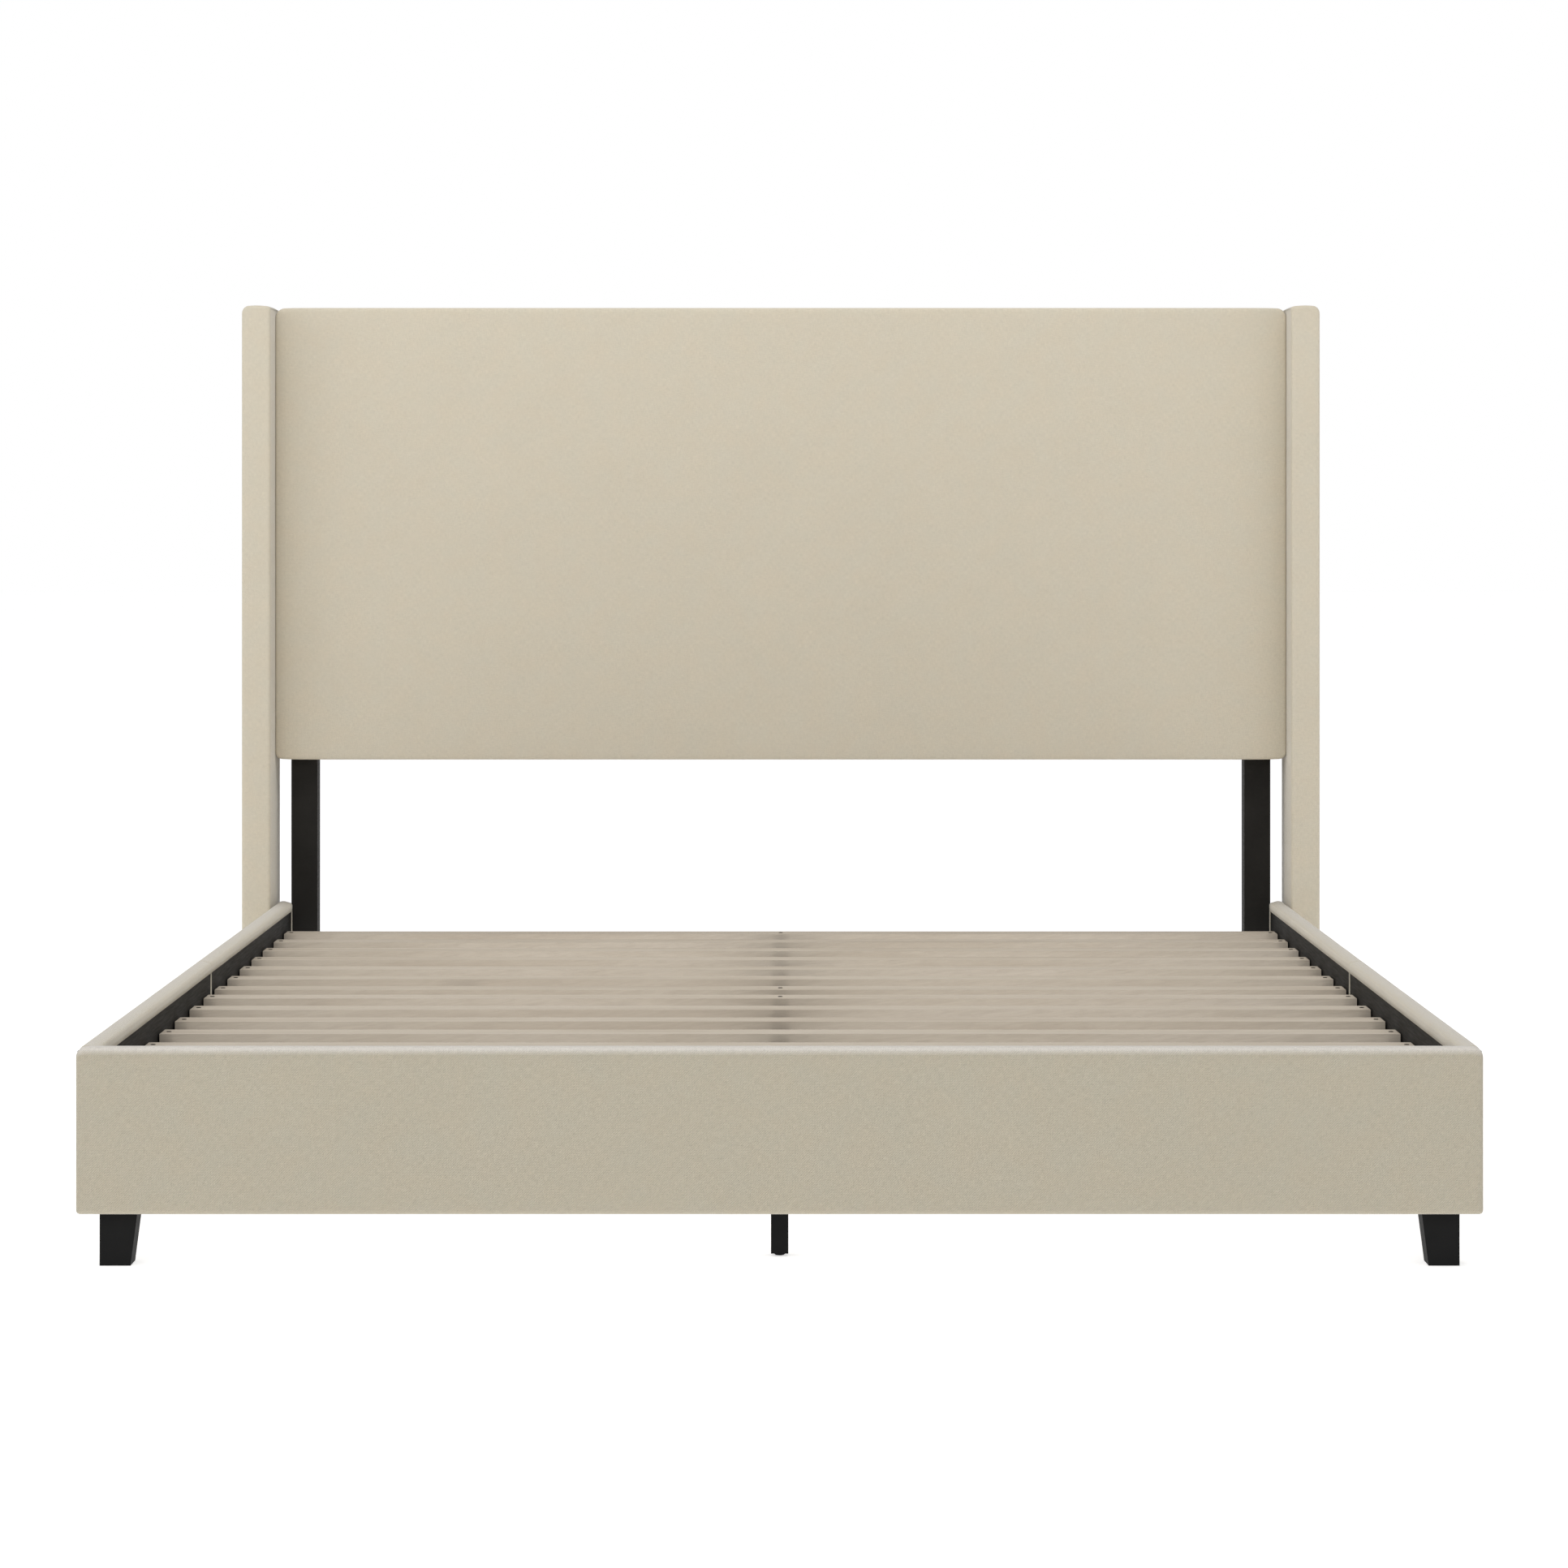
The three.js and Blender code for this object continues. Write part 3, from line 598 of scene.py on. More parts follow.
def settle_cloth(piece, held, most):
    """Cloth simulation: the padding pushes the cover out, apart from its held points. No point
    moves further than most."""
    points = np.empty(3 * len(piece.data.vertices))
    piece.data.vertices.foreach_get("co", points)
    group = piece.vertex_groups.new(name="held")
    group.add(held, 1.0, "REPLACE")
    cloth = piece.modifiers.new("cloth", "CLOTH")
    cloth.settings.quality = 5
    cloth.settings.mass = 0.3
    cloth.settings.tension_stiffness = 30
    cloth.settings.compression_stiffness = 30
    cloth.settings.shear_stiffness = 15
    cloth.settings.bending_stiffness = 1
    cloth.settings.use_pressure = True
    cloth.settings.uniform_pressure_force = PADDING_PRESSURE
    cloth.settings.vertex_group_mass = group.name
    cloth.settings.effector_weights.gravity = 0
    cloth.collision_settings.use_collision = False
    for step in range(1, CLOTH_STEPS + 1):
        bpy.context.scene.frame_set(step)
    graph = bpy.context.evaluated_depsgraph_get()
    settled = np.empty_like(points)
    piece.evaluated_get(graph).data.vertices.foreach_get("co", settled)
    piece.modifiers.remove(cloth)
    piece.vertex_groups.remove(group)
    bpy.context.scene.frame_set(1)
    moves = (settled - points).reshape(-1, 3)
    reach = np.maximum(np.linalg.norm(moves, axis=1, keepdims=True), 1e-9)
    moves *= most * np.tanh(reach / most) / reach
    piece.data.vertices.foreach_set("co", points + moves.ravel())
    piece.data.update()


# ---------- Covers over slabs: the headboard, the wings and the footboard ----------

COVER_THICKNESS = 1.0 * MM
TUCK = 3 * MM  # bend radius where a cover turns in behind
EDGE_HOLD = 14 * MM  # how quickly a cover is free to bulge, in from its edge
CROWN_RUN = 9 * MM  # how quickly the crown rises, in from a corner
WAVE_SIZE = 0.16  # of the padding's unevenness
WAVE_SHARE = 0.5  # of the push that varies with it


def edge_lines(low, high, ease, curve_steps, middle_steps):
    """Grid lines from edge to edge: close together where the cover rounds over, and even between."""
    near = [ease * (1 - math.sin(turn)) for turn in np.linspace(math.pi / 2, 0, curve_steps + 1)]
    middle = np.linspace(low + ease, high - ease, middle_steps + 1)[1:-1]
    return [*(low + offset for offset in near), *middle, *(high - offset for offset in reversed(near))]


class Cover:
    """Fabric stretched over a slab that faces -Y.

    Its front rounds over into returns along the slab's four sides, and these turn in behind as a rim.
    corners gives the outline's radii by (side, end): side is -1 on the left, and end is -1 at the bottom.
    The edges round over across a width, roll, or top_roll at the top, and to a depth, sink. bulge and
    side_bulge are how far the padding pushes out the front and the returns.
    """

    def __init__(self, low, high, corners, roll, top_roll, sink, rim, crown, bulge, side_bulge):
        self.low, self.high = low, high
        self.middle = (low + high) / 2
        self.corners = corners
        self.roll, self.top_roll, self.sink = roll, top_roll, sink
        self.rim = rim
        self.crown = crown
        self.bulge, self.side_bulge = bulge, side_bulge
        self.points, self.cloth, self.faces = [], [], []
        self.border, self.last_ring = [], []
        self.held_from = 0

    def settle(self, x, z):
        """Moves a point of the outline's rectangle inside the rounded outline. Returns its place, how far it
        is from the edge, and the edge's outward direction."""
        side = -1 if x < self.middle.x else 1
        end = -1 if z < self.middle.z else 1
        edge_x = self.high.x if side > 0 else self.low.x
        edge_z = self.high.z if end > 0 else self.low.z
        to_side, to_end = abs(edge_x - x), abs(edge_z - z)
        radius = self.corners[side, end]
        if to_side < radius and to_end < radius:
            outward = Vector((side * (radius - to_side), 0, end * (radius - to_end)))
            reach = max(abs(outward.x), abs(outward.z))
            outward.normalize()
            centre = Vector((edge_x - side * radius, 0, edge_z - end * radius))
            return centre + outward * reach, radius - reach, outward
        if to_side < to_end:
            return Vector((x, 0, z)), to_side, Vector((side, 0, 0))
        return Vector((x, 0, z)), to_end, Vector((0, 0, end))

    def crown_at(self, place):
        """How far the top or bottom edge bows out above or below a place."""
        to_side = min(place.x - self.low.x, self.high.x - place.x)
        height = (place.z - self.middle.z) / (self.high.z - self.middle.z)
        return self.crown * (1 - math.exp(-max(to_side, 0.0) / CROWN_RUN)) * height

    def add_point(self, place, cloth):
        self.points.append(place)
        self.cloth.append(cloth)
        return len(self.points) - 1

    def add_front(self, columns, rows, curve_steps):
        ease = max(self.roll, self.top_roll, *self.corners.values())
        xs = edge_lines(self.low.x, self.high.x, ease, curve_steps, columns)
        zs = edge_lines(self.low.z, self.high.z, ease, curve_steps, rows)
        grid = []
        for z in zs:
            for x in xs:
                place, edge, outward = self.settle(x, z)
                roll = self.roll + (self.top_roll - self.roll) * max(outward.z, 0.0)
                turn = math.asin(clamp(1 - edge / roll, 0.0, 1.0))
                freedom = 1 - math.exp(-edge / EDGE_HOLD)
                push = freedom * self.bulge * (1 + WAVE_SHARE * ripple(place, WAVE_SIZE))
                y = self.low.y + self.sink * (1 - math.cos(turn)) - push
                spare = (roll + self.sink) / 2 * turn - roll * math.sin(turn)
                cloth = (place.x + outward.x * spare, place.z + outward.z * spare)
                self.add_point(Vector((place.x, y, place.z + self.crown_at(place))), cloth)
                grid.append((place, outward))
        self.faces += grid_faces(len(zs), len(xs))
        last_row = (len(zs) - 1) * len(xs)
        bottom = range(len(xs))
        right = range(2 * len(xs) - 1, last_row + len(xs), len(xs))
        top = range(last_row + len(xs) - 2, last_row - 1, -1)
        left = range(last_row - len(xs), 0, -len(xs))
        self.border = [(index, *grid[index]) for index in (*bottom, *right, *top, *left)]
        self.last_ring = [index for index, _, _ in self.border]

    def add_ring(self, y, inset, push=0.0):
        """The border again, further back at y, moved in by inset or out by push."""
        ring = []
        for index, place, outward in self.border:
            side = -1 if place.x < self.middle.x else 1
            end = -1 if place.z < self.middle.z else 1
            moved = place - outward * min(inset, self.corners[side, end])
            moved.x = clamp(moved.x, self.low.x + inset, self.high.x - inset)
            moved.z = clamp(moved.z, self.low.z + inset, self.high.z - inset)
            wave = 1 + WAVE_SHARE * ripple((place.x, y, place.z), WAVE_SIZE)
            at = Vector((moved.x, y, moved.z + self.crown_at(place))) + outward * push * wave
            run = y - self.points[index].y + inset
            u, v = self.cloth[index]
            ring.append(self.add_point(at, (u + outward.x * run, v + outward.z * run)))
        for here in range(len(ring)):
            after = (here + 1) % len(ring)
            self.faces.append((self.last_ring[here], ring[here], ring[after], self.last_ring[after]))
        self.last_ring = ring

    def add_returns(self, steps):
        start, end = self.low.y + self.sink, self.high.y - TUCK
        for share in np.linspace(0, 1, steps + 1)[1:]:
            self.add_ring(start + (end - start) * share, 0.0, self.side_bulge * math.sin(math.pi * share))
        self.held_from = len(self.points)
        for turn in np.radians((30, 60, 90)):
            self.add_ring(end + TUCK * math.sin(turn), TUCK * (1 - math.cos(turn)))
        for share in (0.35, 0.7, 1.0):
            self.add_ring(self.high.y, TUCK + (self.rim - TUCK) * share)

    def make(self, name, material, grid, depth_steps, most):
        """The finished piece. grid is the columns, rows and curve steps of its front."""
        self.add_front(*grid)
        self.add_returns(depth_steps)
        piece = make_piece(name, self.points, self.faces, material, cloth=self.cloth)
        settle_cloth(piece, list(range(self.held_from, len(self.points))), most)
        thicken(piece, COVER_THICKNESS)
        return piece


WING_PRESS = 0.6 * MM  # how far the panel's sides spread, against the wings
HEADBOARD_DIP = 1.5 * MM  # how far the panel's padding settles below the wings' tops
HEADBOARD_SETBACK = 1 * MM  # room for the bulge in front
FOOTBOARD_SETBACK = 0.6 * MM
FOOTBOARD_DIP = 1.5 * MM
WING_BACK_SETBACK = 1.6 * MM  # keeps a wing's rim in front of its lining


def add_headboard_cover():
    low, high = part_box("headboard_cover")
    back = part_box("headboard_back_cloth")[0].y
    crown = 3 * MM
    cover = Cover(
        low=Vector((low.x - WING_PRESS, low.y + HEADBOARD_SETBACK, low.z + crown)),
        high=Vector((high.x + WING_PRESS, back, high.z - crown - HEADBOARD_DIP)),
        corners={(-1, -1): 9 * MM, (1, -1): 9 * MM, (-1, 1): 14 * MM, (1, 1): 14 * MM},
        roll=3.5 * MM,
        top_roll=7 * MM,
        sink=2.5 * MM,
        rim=28 * MM,
        crown=crown,
        bulge=1.5 * MM,
        side_bulge=0.0,
    )
    piece = cover.make("headboard_upholstery", "upholstery_fabric", (110, 48, 7), 6, 1.5 * MM)
    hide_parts("headboard_cover", "headboard_foam")


def add_footboard_cover():
    low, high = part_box("footboard_cover")
    cover = Cover(
        low=Vector((low.x, low.y + FOOTBOARD_SETBACK, low.z)),
        high=high - Vector((0, 0, FOOTBOARD_DIP)),
        corners={(-1, -1): 5 * MM, (1, -1): 5 * MM, (-1, 1): 11 * MM, (1, 1): 11 * MM},
        roll=5 * MM,
        top_roll=10 * MM,
        sink=8 * MM,
        rim=16 * MM,
        crown=0.0,
        bulge=0.8 * MM,
        side_bulge=0.3 * MM,
    )
    piece = cover.make("footboard_upholstery", "footboard_fabric", (120, 20, 7), 4, 1.2 * MM)
    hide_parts("footboard_cover")


def add_wing_cover(name, side):
    low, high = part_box(f"wing_{name}_cover")
    outer_corner, inner_corner = 10 * MM, 3 * MM
    cover = Cover(
        low=low,
        high=high - Vector((0, WING_BACK_SETBACK, 0)),
        corners={
            (side, 1): outer_corner,
            (-side, 1): inner_corner,
            (side, -1): inner_corner,
            (-side, -1): inner_corner,
        },
        roll=3.5 * MM,
        top_roll=6 * MM,
        sink=4 * MM,
        rim=14 * MM,
        crown=2.5 * MM,
        bulge=0.6 * MM,
        side_bulge=0.4 * MM,
    )
    piece = cover.make(f"wing_{name}_upholstery", "upholstery_fabric", (6, 60, 7), 10, 1.0 * MM)
    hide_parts(f"wing_{name}_cover")


# ---------- Rail covers ----------

RAIL_LIP = 15.5 * MM  # how far a cover turns down inside
RAIL_END_ROLL = 2.2 * MM
RAIL_EASE = 8 * MM  # depth that the ends' rounding points towards
RAIL_SIDE_SETBACK = 0.6 * MM  # room for the bulge of the outer face
RAIL_TOP_SETBACK = 0.4 * MM
RAIL_STEPS = 60  # places along a half, its rounded ends apart
RAIL_WAVE, RAIL_WAVE_SIZE = 0.25 * MM, 0.11  # unevenness of the outer face


def side_of(half):
    return SIDES[half.split("_")[0]]


def rail_section(inner, outer, low, high):
    """The cover's path in section for the +X side: up the inside lip, over the top, down and under."""
    top_round, inner_round, under_round = 8 * MM, 4 * MM, 5 * MM
    bulge, slope = 0.8 * MM, 2.4 * MM
    path = [(inner, high - RAIL_LIP), (inner, high - 0.6 * RAIL_LIP)]
    path += arc((inner + inner_round, high - slope - inner_round), inner_round, 180, 110, 4)
    path.append((inner + 0.5 * (outer - inner), high))
    path += arc((outer - top_round, high - top_round), top_round, 90, 0, 7)
    for share in np.linspace(0, 1, 9)[1:-1]:
        z = high - top_round + (low + under_round - high + top_round) * share
        path.append((outer + bulge * math.sin(math.pi * share), z))
    path += arc((outer - under_round, low + under_round), under_round, 0, -90, 5)
    path.append((inner + 0.3 * MM, low))
    return path


def rounded_levels(length, steps):
    """Places along a rail half, each with how far its section draws in there."""
    turns = np.radians((0, 30, 60, 90))
    near = [(RAIL_END_ROLL * (1 - math.cos(turn)), RAIL_END_ROLL * (1 - math.sin(turn))) for turn in turns]
    middle = [(run, 0.0) for run in np.linspace(RAIL_END_ROLL, length - RAIL_END_ROLL, steps)[1:-1]]
    far = [(length - run, inset) for run, inset in reversed(near)]
    return [*near, *middle, *far]


def add_rail_cover(half):
    side = side_of(half)
    low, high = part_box(f"side_rail_cover_{half}")
    inner, outer = sorted((abs(low.x), abs(high.x)))
    section = rail_section(inner, outer - RAIL_SIDE_SETBACK, low.z, high.z - RAIL_TOP_SETBACK)
    along_section = lengths_along(section)
    levels = rounded_levels(high.y - low.y, RAIL_STEPS)
    points, cloth = [], []
    for run, inset in levels:
        for (x, z), along in zip(section, along_section):
            core_z = clamp(z, low.z + RAIL_EASE, high.z - RAIL_EASE)
            core = Vector((clamp(x, inner, outer - RAIL_EASE), core_z))
            inward = (core - Vector((x, z))).normalized()
            rippled = RAIL_WAVE * ripple((side * x, low.y + run, z), RAIL_WAVE_SIZE)
            wave = rippled if x > core.x else 0.0
            x, z = Vector((x + wave, z)) + inward * inset
            points.append((side * x, low.y + run, z))
            cloth.append((along, low.y + run))
    faces = grid_faces(len(levels), len(section))
    faces.append(tuple(range(len(section)))[::-1])
    faces.append(tuple(range(len(points) - len(section), len(points))))
    if side < 0:
        faces = [face[::-1] for face in faces]
    fabric = "upholstery_fabric"
    piece = make_piece(f"rail_upholstery_{half}", points, faces, fabric, cloth=cloth)
    thicken(piece, COVER_THICKNESS)
    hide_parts(f"side_rail_cover_{half}")


# ---------- Black cloth on the backs ----------

STAPLE_PITCH = 62 * MM
STAPLE_INSET = 7 * MM
STAPLE_SEAT = 0.2 * MM  # how far a staple is driven below the back's face
BACK_CLOTH_MARGIN = 12 * MM  # between the cloth and the edge of the panel, or a wing's ends
WING_LINING_MARGIN = 6 * MM  # the same at a wing's sides
BACK_CLOTH_THICKNESS = 0.5 * MM
BACK_CLOTH_SEAT = 0.4 * MM  # how far in from the back's face it lies
BACK_CLOTH_SLACK, BACK_CLOTH_WAVE_SIZE = 0.25 * MM, 0.09  # how it draws in between its staples


def spaced(start, end):
    """Places between two ends, about a staple's pitch apart."""
    count = max(2, round((end - start) / STAPLE_PITCH) + 1)
    return np.linspace(start, end, count)[1:-1]


def staple_marks(low, high):
    """Places along a rectangle's edges, in X and Z, each with the direction of the edge there."""
    left, right = low.x + STAPLE_INSET, high.x - STAPLE_INSET
    bottom, top = low.z + STAPLE_INSET, high.z - STAPLE_INSET
    marks = [((x, z), ALONG_X) for x in spaced(left, right) for z in (bottom, top)]
    return marks + [((x, z), ALONG_Z) for z in spaced(bottom, top) for x in (left, right)]


def add_back_cloth(name, low, high, y, nodes=()):
    """A rectangle of black cloth facing +Y, drawn in a little between its staples."""
    spacing, fewest = 0.25 * STAPLE_PITCH, 6
    columns = max(fewest, round((high.x - low.x) / spacing))
    rows = max(fewest, round((high.z - low.z) / spacing))
    points, cloth = [], []
    for z in np.linspace(low.z, high.z, rows + 1):
        for x in np.linspace(high.x, low.x, columns + 1):
            edge = min(x - low.x, high.x - x, z - low.z, high.z - z)
            freedom = 1 - math.exp(-edge / (2 * STAPLE_INSET))
            slack = BACK_CLOTH_SLACK * (1 + ripple((x, y, z), BACK_CLOTH_WAVE_SIZE)) * freedom
            points.append((x, y - BACK_CLOTH_SEAT - slack, z))
            cloth.append((-x, z))
    faces = grid_faces(rows + 1, columns + 1)
    piece = make_piece(name, points, faces, "back_cloth", cloth=cloth)
    thicken(piece, BACK_CLOTH_THICKNESS)
    if nodes:
        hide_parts(*nodes)


# ---------- Small hardware ----------


def circle(angle):
    return 1.0


def hexagon(angle):
    return math.cos(math.pi / 6) / math.cos(angle % (math.pi / 3) - math.pi / 6)


def cross(angle):
    return 0.30 + 0.34 * abs(math.cos(2 * angle)) ** 3


def ring(radius, height, outline=circle, count=24):
    """A closed ring of points at a height, whose radius varies with the angle as the outline says."""
    angles = [2 * math.pi * step / count for step in range(count)]
    reaches = [(radius * outline(angle), angle) for angle in angles]
    return [Vector((reach * math.cos(a), reach * math.sin(a), height)) for reach, a in reaches]


def loft(rings):
    """A closed solid through rings of points, from the lowest up. Returns its points and faces."""
    count = len(rings[0])
    faces = [tuple(range(count))[::-1]]
    for level in range(len(rings) - 1):
        for here in range(count):
            after = (here + 1) % count
            low, high = level * count, (level + 1) * count
            faces.append((low + here, low + after, high + after, high + here))
    faces.append(tuple(range((len(rings) - 1) * count, len(rings) * count)))
    return [point for level in rings for point in level], faces


def screw_head(radius):
    """A raised countersunk head with a cross recess."""
    return loft([
        ring(radius * 0.5, -1.2 * MM),
        ring(radius, -0.1 * MM),
        ring(radius * 0.97, 0.4 * MM),
        ring(radius * 0.85, 0.7 * MM),
        ring(radius, 0.7 * MM, cross),
        ring(radius * 0.85, -0.6 * MM, cross),
    ])


def bolt_head(radius):
    """A hexagon head on a washer."""
    return loft([
        ring(radius * 1.45, 0),
        ring(radius * 1.45, 1.1 * MM),
        ring(radius * 1.36, 1.4 * MM),
        ring(radius, 1.4 * MM, hexagon),
        ring(radius, 5.2 * MM, hexagon),
        ring(radius * 0.86, 5.8 * MM, hexagon),
    ])


def staple():
    """The crown of a wire staple, 10 mm long."""
    half, wire = 4.4 * MM, 0.6 * MM
    rings = []
    for radius, height in ((wire, -0.5 * MM), (wire, 0.3 * MM), (0.5 * wire, 0.65 * MM)):
        level = ring(radius, height, count=12)
        rings.append([Vector((math.copysign(half, point.x) + point.x, point.y, point.z)) for point in level])
    return loft(rings)


def glide():
    """A nail glide that a wing stands on."""
    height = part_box("wing_left_cover")[0].z + 1.5 * MM
    return loft([
        ring(7 * MM, 0),
        ring(9.5 * MM, 1.2 * MM),
        ring(11 * MM, 3 * MM),
        ring(11 * MM, 4.5 * MM),
        ring(8 * MM, 5.5 * MM),
        ring(8 * MM, height),
    ])


def scatter(name, shape, places, material):
    """One piece holding a copy of a shape at each place. A place is a point, the direction that the shape's
    Z axis faces, and the direction of its X axis."""
    shape_points, shape_faces = shape
    points, faces = [], []
    for at, facing, across in places:
        facing, across = Vector(facing), Vector(across)
        other = facing.cross(across)
        start = len(points)
        points += [Vector(at) + across * p.x + other * p.y + facing * p.z for p in shape_points]
        faces += [tuple(start + index for index in face) for face in shape_faces]
    piece = make_piece(name, points, faces, material)
    shade_flat(piece)
    return piece


SCREW_TURN = 2.4  # radians from one screw's slot to the next one's


def turned(index):
    """A different way round for each screw, since no two are driven to the same angle."""
    angle = SCREW_TURN * index
    return (math.cos(angle), math.sin(angle), 0)


STEEL = 3 * MM  # thickness of the brackets
BOLT_INSET = 18 * MM  # from the bolts to a bracket's ends
LEG_BOLT_REACH = 20 * MM  # from a rail's flange to the bolts in its headboard leg
FOOTBOARD_BOLT_REACH = 50 * MM  # from a rail's flange to the bolts in the footboard
FOOT_FLANGE_CLEARANCE = 28 * MM  # room for the bolts above a front foot
LEDGE_SCREW_INSET, LEDGE_SCREWS = 0.05, 6  # from a ledge's ends, and how many in each ledge
GLIDE_INSET = 0.025  # from a wing's front and back
CENTRE_SCREWED = ("slat_01", "slat_07", "slat_08", "slat_14")  # also screwed to the centre beam


def add_slat_screws():
    end_inset, radius = 8.5 * MM, 3.2 * MM
    places = []
    for slat in SLATS:
        low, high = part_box(slat)
        y = (low.y + high.y) / 2
        spots = [low.x + end_inset, high.x - end_inset]
        if slat in CENTRE_SCREWED:
            spots.append(0.0)
        places += [((x, y, high.z), UP, turned(len(places) + spot)) for spot, x in enumerate(spots)]
    scatter("slat_screws", screw_head(radius), places, "dark_screw")


def add_ledge_screws():
    places = []
    for half in RAIL_HALVES:
        side = side_of(half)
        low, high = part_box(f"slat_ledge_{half}")
        face = low.x if side > 0 else high.x
        for y in np.linspace(low.y + LEDGE_SCREW_INSET, high.y - LEDGE_SCREW_INSET, LEDGE_SCREWS):
            places.append(((face, y, (low.z + high.z) / 2), (-side, 0, 0), ALONG_Z))
    scatter("ledge_screws", screw_head(3.6 * MM), places, "dark_screw")


def add_bracket_bolts():
    """Bolts through the rail joints, and through both flanges of each corner bracket."""
    places = []
    for name, side in SIDES.items():
        inward = (-side, 0, 0)
        low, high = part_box(f"rail_joint_plate_{name}")
        rail_flange = low.x if side > 0 else high.x
        for y in np.linspace(low.y + BOLT_INSET, high.y - BOLT_INSET, 4):
            places.append(((rail_flange, y, (low.z + high.z) / 2), inward, ALONG_Z))
        low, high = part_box(f"head_bracket_{name}")
        for z in (low.z + BOLT_INSET, high.z - BOLT_INSET):
            places.append(((rail_flange, low.y + BOLT_INSET, z), inward, ALONG_Z))
            places.append(((rail_flange - side * LEG_BOLT_REACH, high.y - STEEL, z), FORWARD, ALONG_Z))
        low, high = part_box(f"foot_bracket_{name}")
        for z in (low.z + FOOT_FLANGE_CLEARANCE, high.z - BOLT_INSET):
            places.append(((rail_flange, high.y - BOLT_INSET, z), inward, ALONG_Z))
            places.append(((rail_flange - side * FOOTBOARD_BOLT_REACH, low.y + STEEL, z), BACKWARD, ALONG_Z))
    scatter("bracket_bolts", bolt_head(4.6 * MM), places, "zinc")


def add_wing_glides():
    places = []
    for name in SIDES:
        low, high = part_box(f"wing_{name}_cover")
        for y in (low.y + GLIDE_INSET, high.y - GLIDE_INSET):
            places.append((((low.x + high.x) / 2, y, 0), UP, ALONG_X))
    piece = scatter("wing_glides", glide(), places, "black_plastic")
    ease_edges(piece, 0.3 * MM)


def add_backs():
    """The black cloth and staples behind the headboard, and a strip behind each wing."""
    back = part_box("headboard_back_cloth")[1].y
    spans = {"headboard": "headboard_cover", "wing_left": "wing_left_cover", "wing_right": "wing_right_cover"}
    places = []
    for name, node in spans.items():
        low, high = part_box(node)
        side_margin = BACK_CLOTH_MARGIN if name == "headboard" else WING_LINING_MARGIN
        inset = Vector((side_margin, 0, BACK_CLOTH_MARGIN))
        low, high = low + inset, high - inset
        replaced = ["headboard_back_cloth"] if name == "headboard" else []
        add_back_cloth(f"{name}_back_lining", low, high, back, replaced)
        marks = staple_marks(low, high)
        places += [((x, back - STAPLE_SEAT, z), BACKWARD, direction) for (x, z), direction in marks]
    scatter("back_staples", staple(), places, "zinc")


THREAD_PITCH = 1.25 * MM
THREAD_DEPTH = 0.6 * MM


def threaded_ring(radius, height):
    """A ring round a threaded stem. The thread's crest comes round once in each pitch of height."""
    points = ring(radius, height)
    for index, point in enumerate(points):
        phase = (height / THREAD_PITCH - index / len(points)) % 1.0
        share = 1 - THREAD_DEPTH / radius * abs(2 * phase - 1)
        point.x, point.y = point.x * share, point.y * share
    return points


def add_levelling_foot(place):
    """A domed foot on a threaded stem, which rides on its own body."""
    node = f"levelling_foot_{place}"
    low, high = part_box(node)
    foot_radius, stem_radius = (high.x - low.x) / 2, 4.0 * MM
    foot_top = 2.7 * MM
    rings = [
        ring(foot_radius * 0.55, 0),
        ring(foot_radius * 0.80, 0.35 * MM),
        ring(foot_radius, 1.2 * MM),
        ring(foot_radius, foot_top - 0.3 * MM),
        ring(foot_radius * 0.95, foot_top),
        ring(stem_radius, foot_top),
    ]
    steps_per_turn = 6
    steps = round((high.z - foot_top) / THREAD_PITCH) * steps_per_turn
    rings += [threaded_ring(stem_radius, height) for height in np.linspace(foot_top, high.z, steps + 1)[1:]]
    points, faces = loft(rings)
    base = Vector(((low.x + high.x) / 2, (low.y + high.y) / 2, low.z))
    points = [point + base for point in points]
    piece = make_piece(f"levelling_screw_{place}", points, faces, "black_plastic", body=node)
    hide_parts(node)


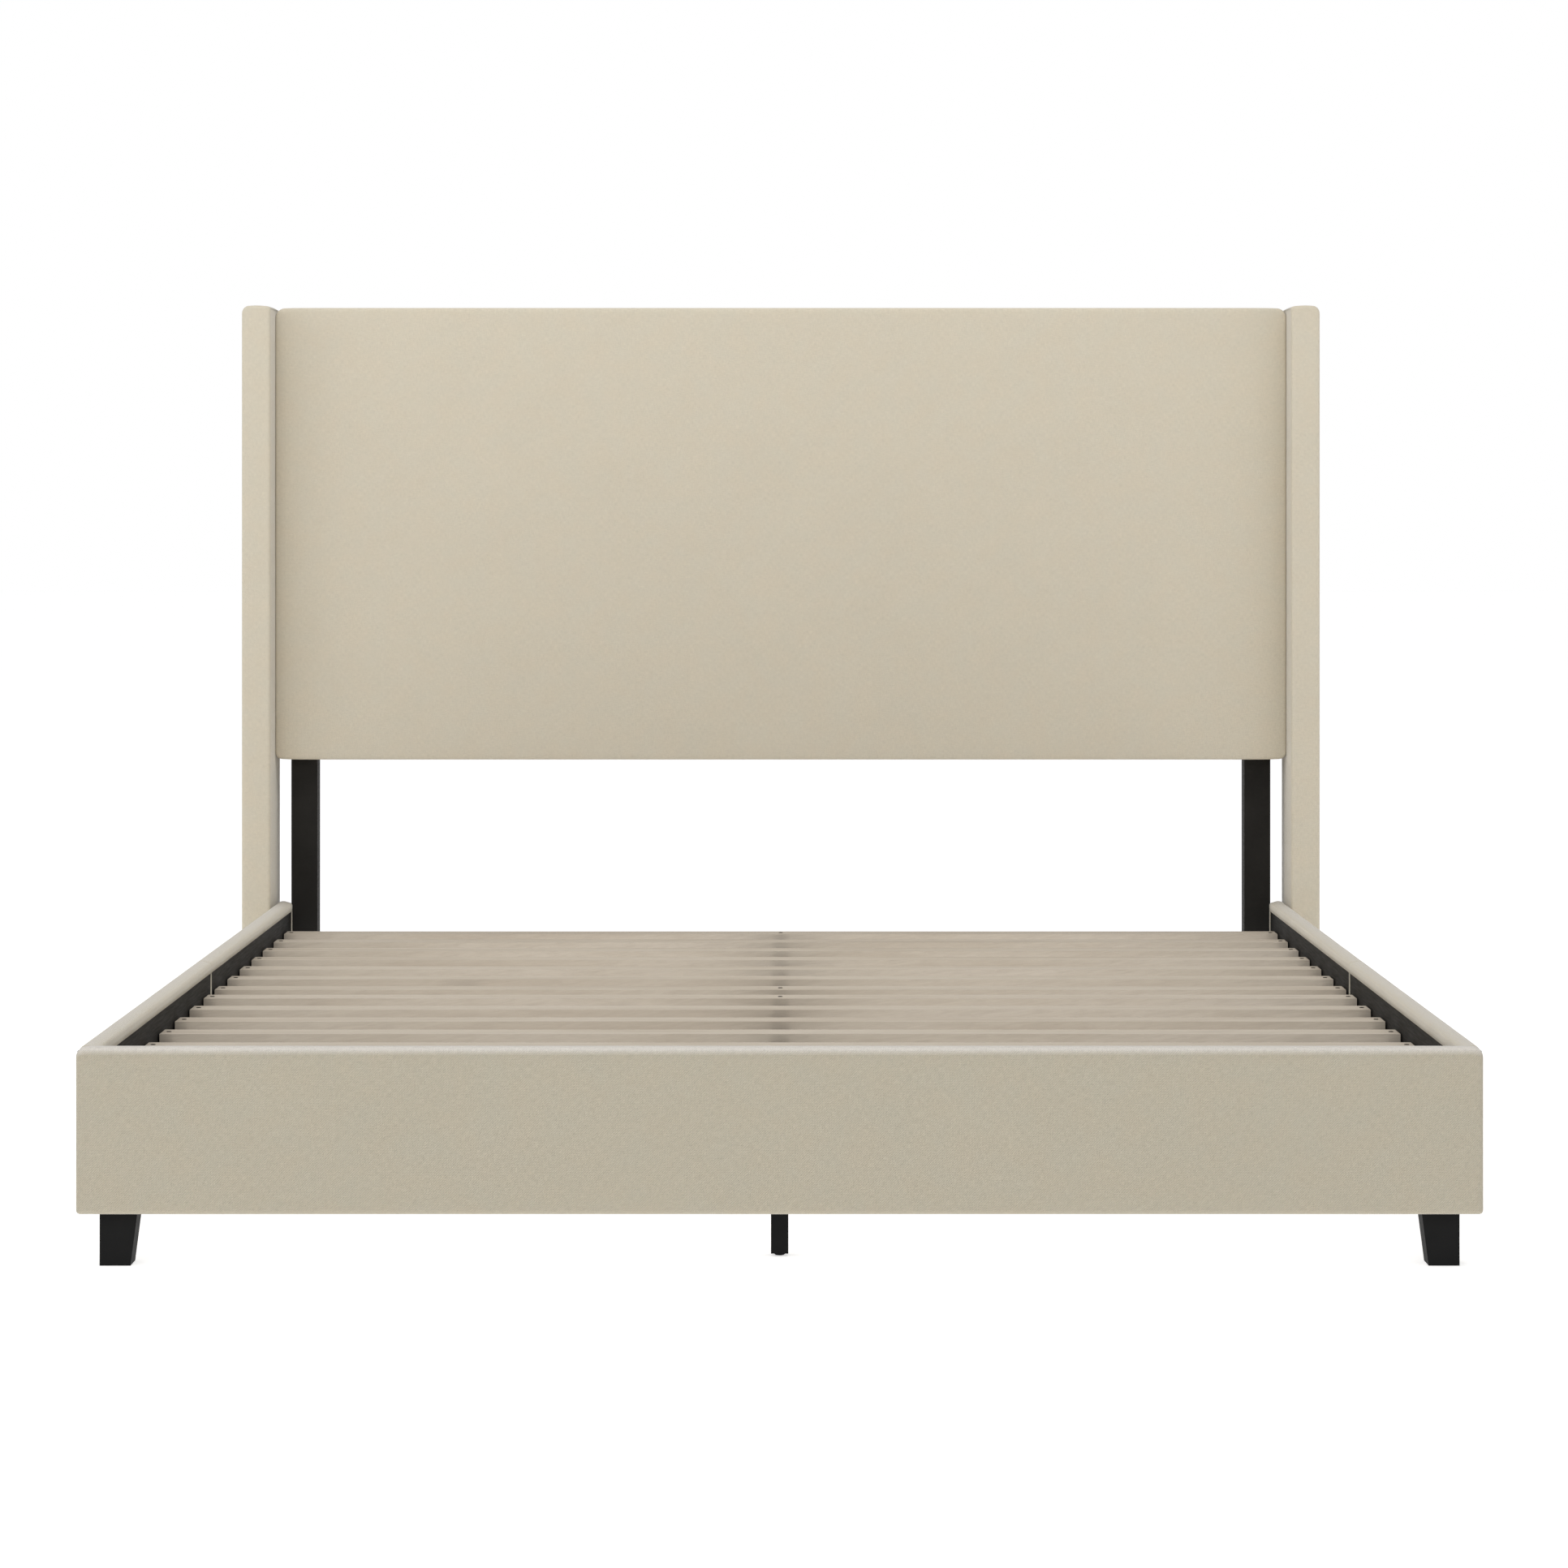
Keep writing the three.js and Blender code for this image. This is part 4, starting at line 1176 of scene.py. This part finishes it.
def add_beam_caps():
    """Moulded plugs in the open ends of the centre beam."""
    lip, thickness, wall = 0.2 * MM, 1.6 * MM, 2.1 * MM
    for name, outward in (("front", -1), ("rear", 1)):
        low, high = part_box(f"center_beam_{name}")
        face = low.y if outward < 0 else high.y
        points, faces = [], []
        levels = ((wall, -12 * MM), (wall, 0), (lip, 0), (lip, 0.6 * thickness), (1.2 * MM, thickness))
        for inset, reach in levels:
            y = face + outward * reach
            xs, zs = (low.x + inset, high.x - inset), (low.z + inset, high.z - inset)
            points += [(xs[0], y, zs[0]), (xs[1], y, zs[0]), (xs[1], y, zs[1]), (xs[0], y, zs[1])]
        for below in range(0, len(points) - 4, 4):
            above = below + 4
            for here in range(4):
                after = (here + 1) % 4
                faces.append((below + here, below + after, above + after, above + here))
        faces.append((3, 2, 1, 0))
        faces.append(tuple(range(len(points) - 4, len(points))))
        if outward > 0:
            faces = [face[::-1] for face in faces]
        piece = make_piece(f"center_beam_cap_{name}", points, faces, "black_plastic")
        shade_flat(piece)
        ease_edges(piece, 0.4 * MM)


# ---------- CAD nodes that stay, with eased edges and finished materials ----------


def finish_cad_nodes():
    finishes = {
        "black_board": [
            *(f"side_rail_{half}" for half in RAIL_HALVES),
            *(f"slat_ledge_{half}" for half in RAIL_HALVES),
            *(f"headboard_leg_{side}" for side in SIDES),
            "footboard_board",
        ],
        "black_plastic": [f"front_foot_{side}" for side in SIDES],
        "black_steel": [
            *(f"center_leg_{place}" for place in FOOT_PLACES),
            *(f"center_beam_{part}" for part in ("front", "rear", "sleeve")),
            *(f"foot_bracket_{side}" for side in SIDES),
            *(f"head_bracket_{side}" for side in SIDES),
            *(f"rail_joint_plate_{side}" for side in SIDES),
        ],
        "slat_wood": SLATS,
        "plywood": [
            "headboard_board",
            "headboard_top_rail",
            "headboard_bottom_rail",
            *(f"headboard_stile_{side}" for side in SIDES),
            *(f"wing_{side}_core" for side in SIDES),
        ],
    }
    widths = {"slat_wood": 0.5 * MM, "black_board": 1.2 * MM, "black_plastic": 1.2 * MM}
    for material, names in finishes.items():
        for name in names:
            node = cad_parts[name]
            node.data.materials.clear()
            node.data.materials.append(MATERIALS[material])
            ease_edges(node, widths.get(material, 0.5 * MM))


# ---------- Assembly ----------

add_camera()
add_studio()
add_floor()
finish_cad_nodes()
add_headboard_cover()
add_footboard_cover()
for wing, wing_side in SIDES.items():
    add_wing_cover(wing, wing_side)
for rail_half in RAIL_HALVES:
    add_rail_cover(rail_half)
add_backs()
add_slat_screws()
add_ledge_screws()
add_bracket_bolts()
add_wing_glides()
add_beam_caps()
for foot_place in FOOT_PLACES:
    add_levelling_foot(foot_place)
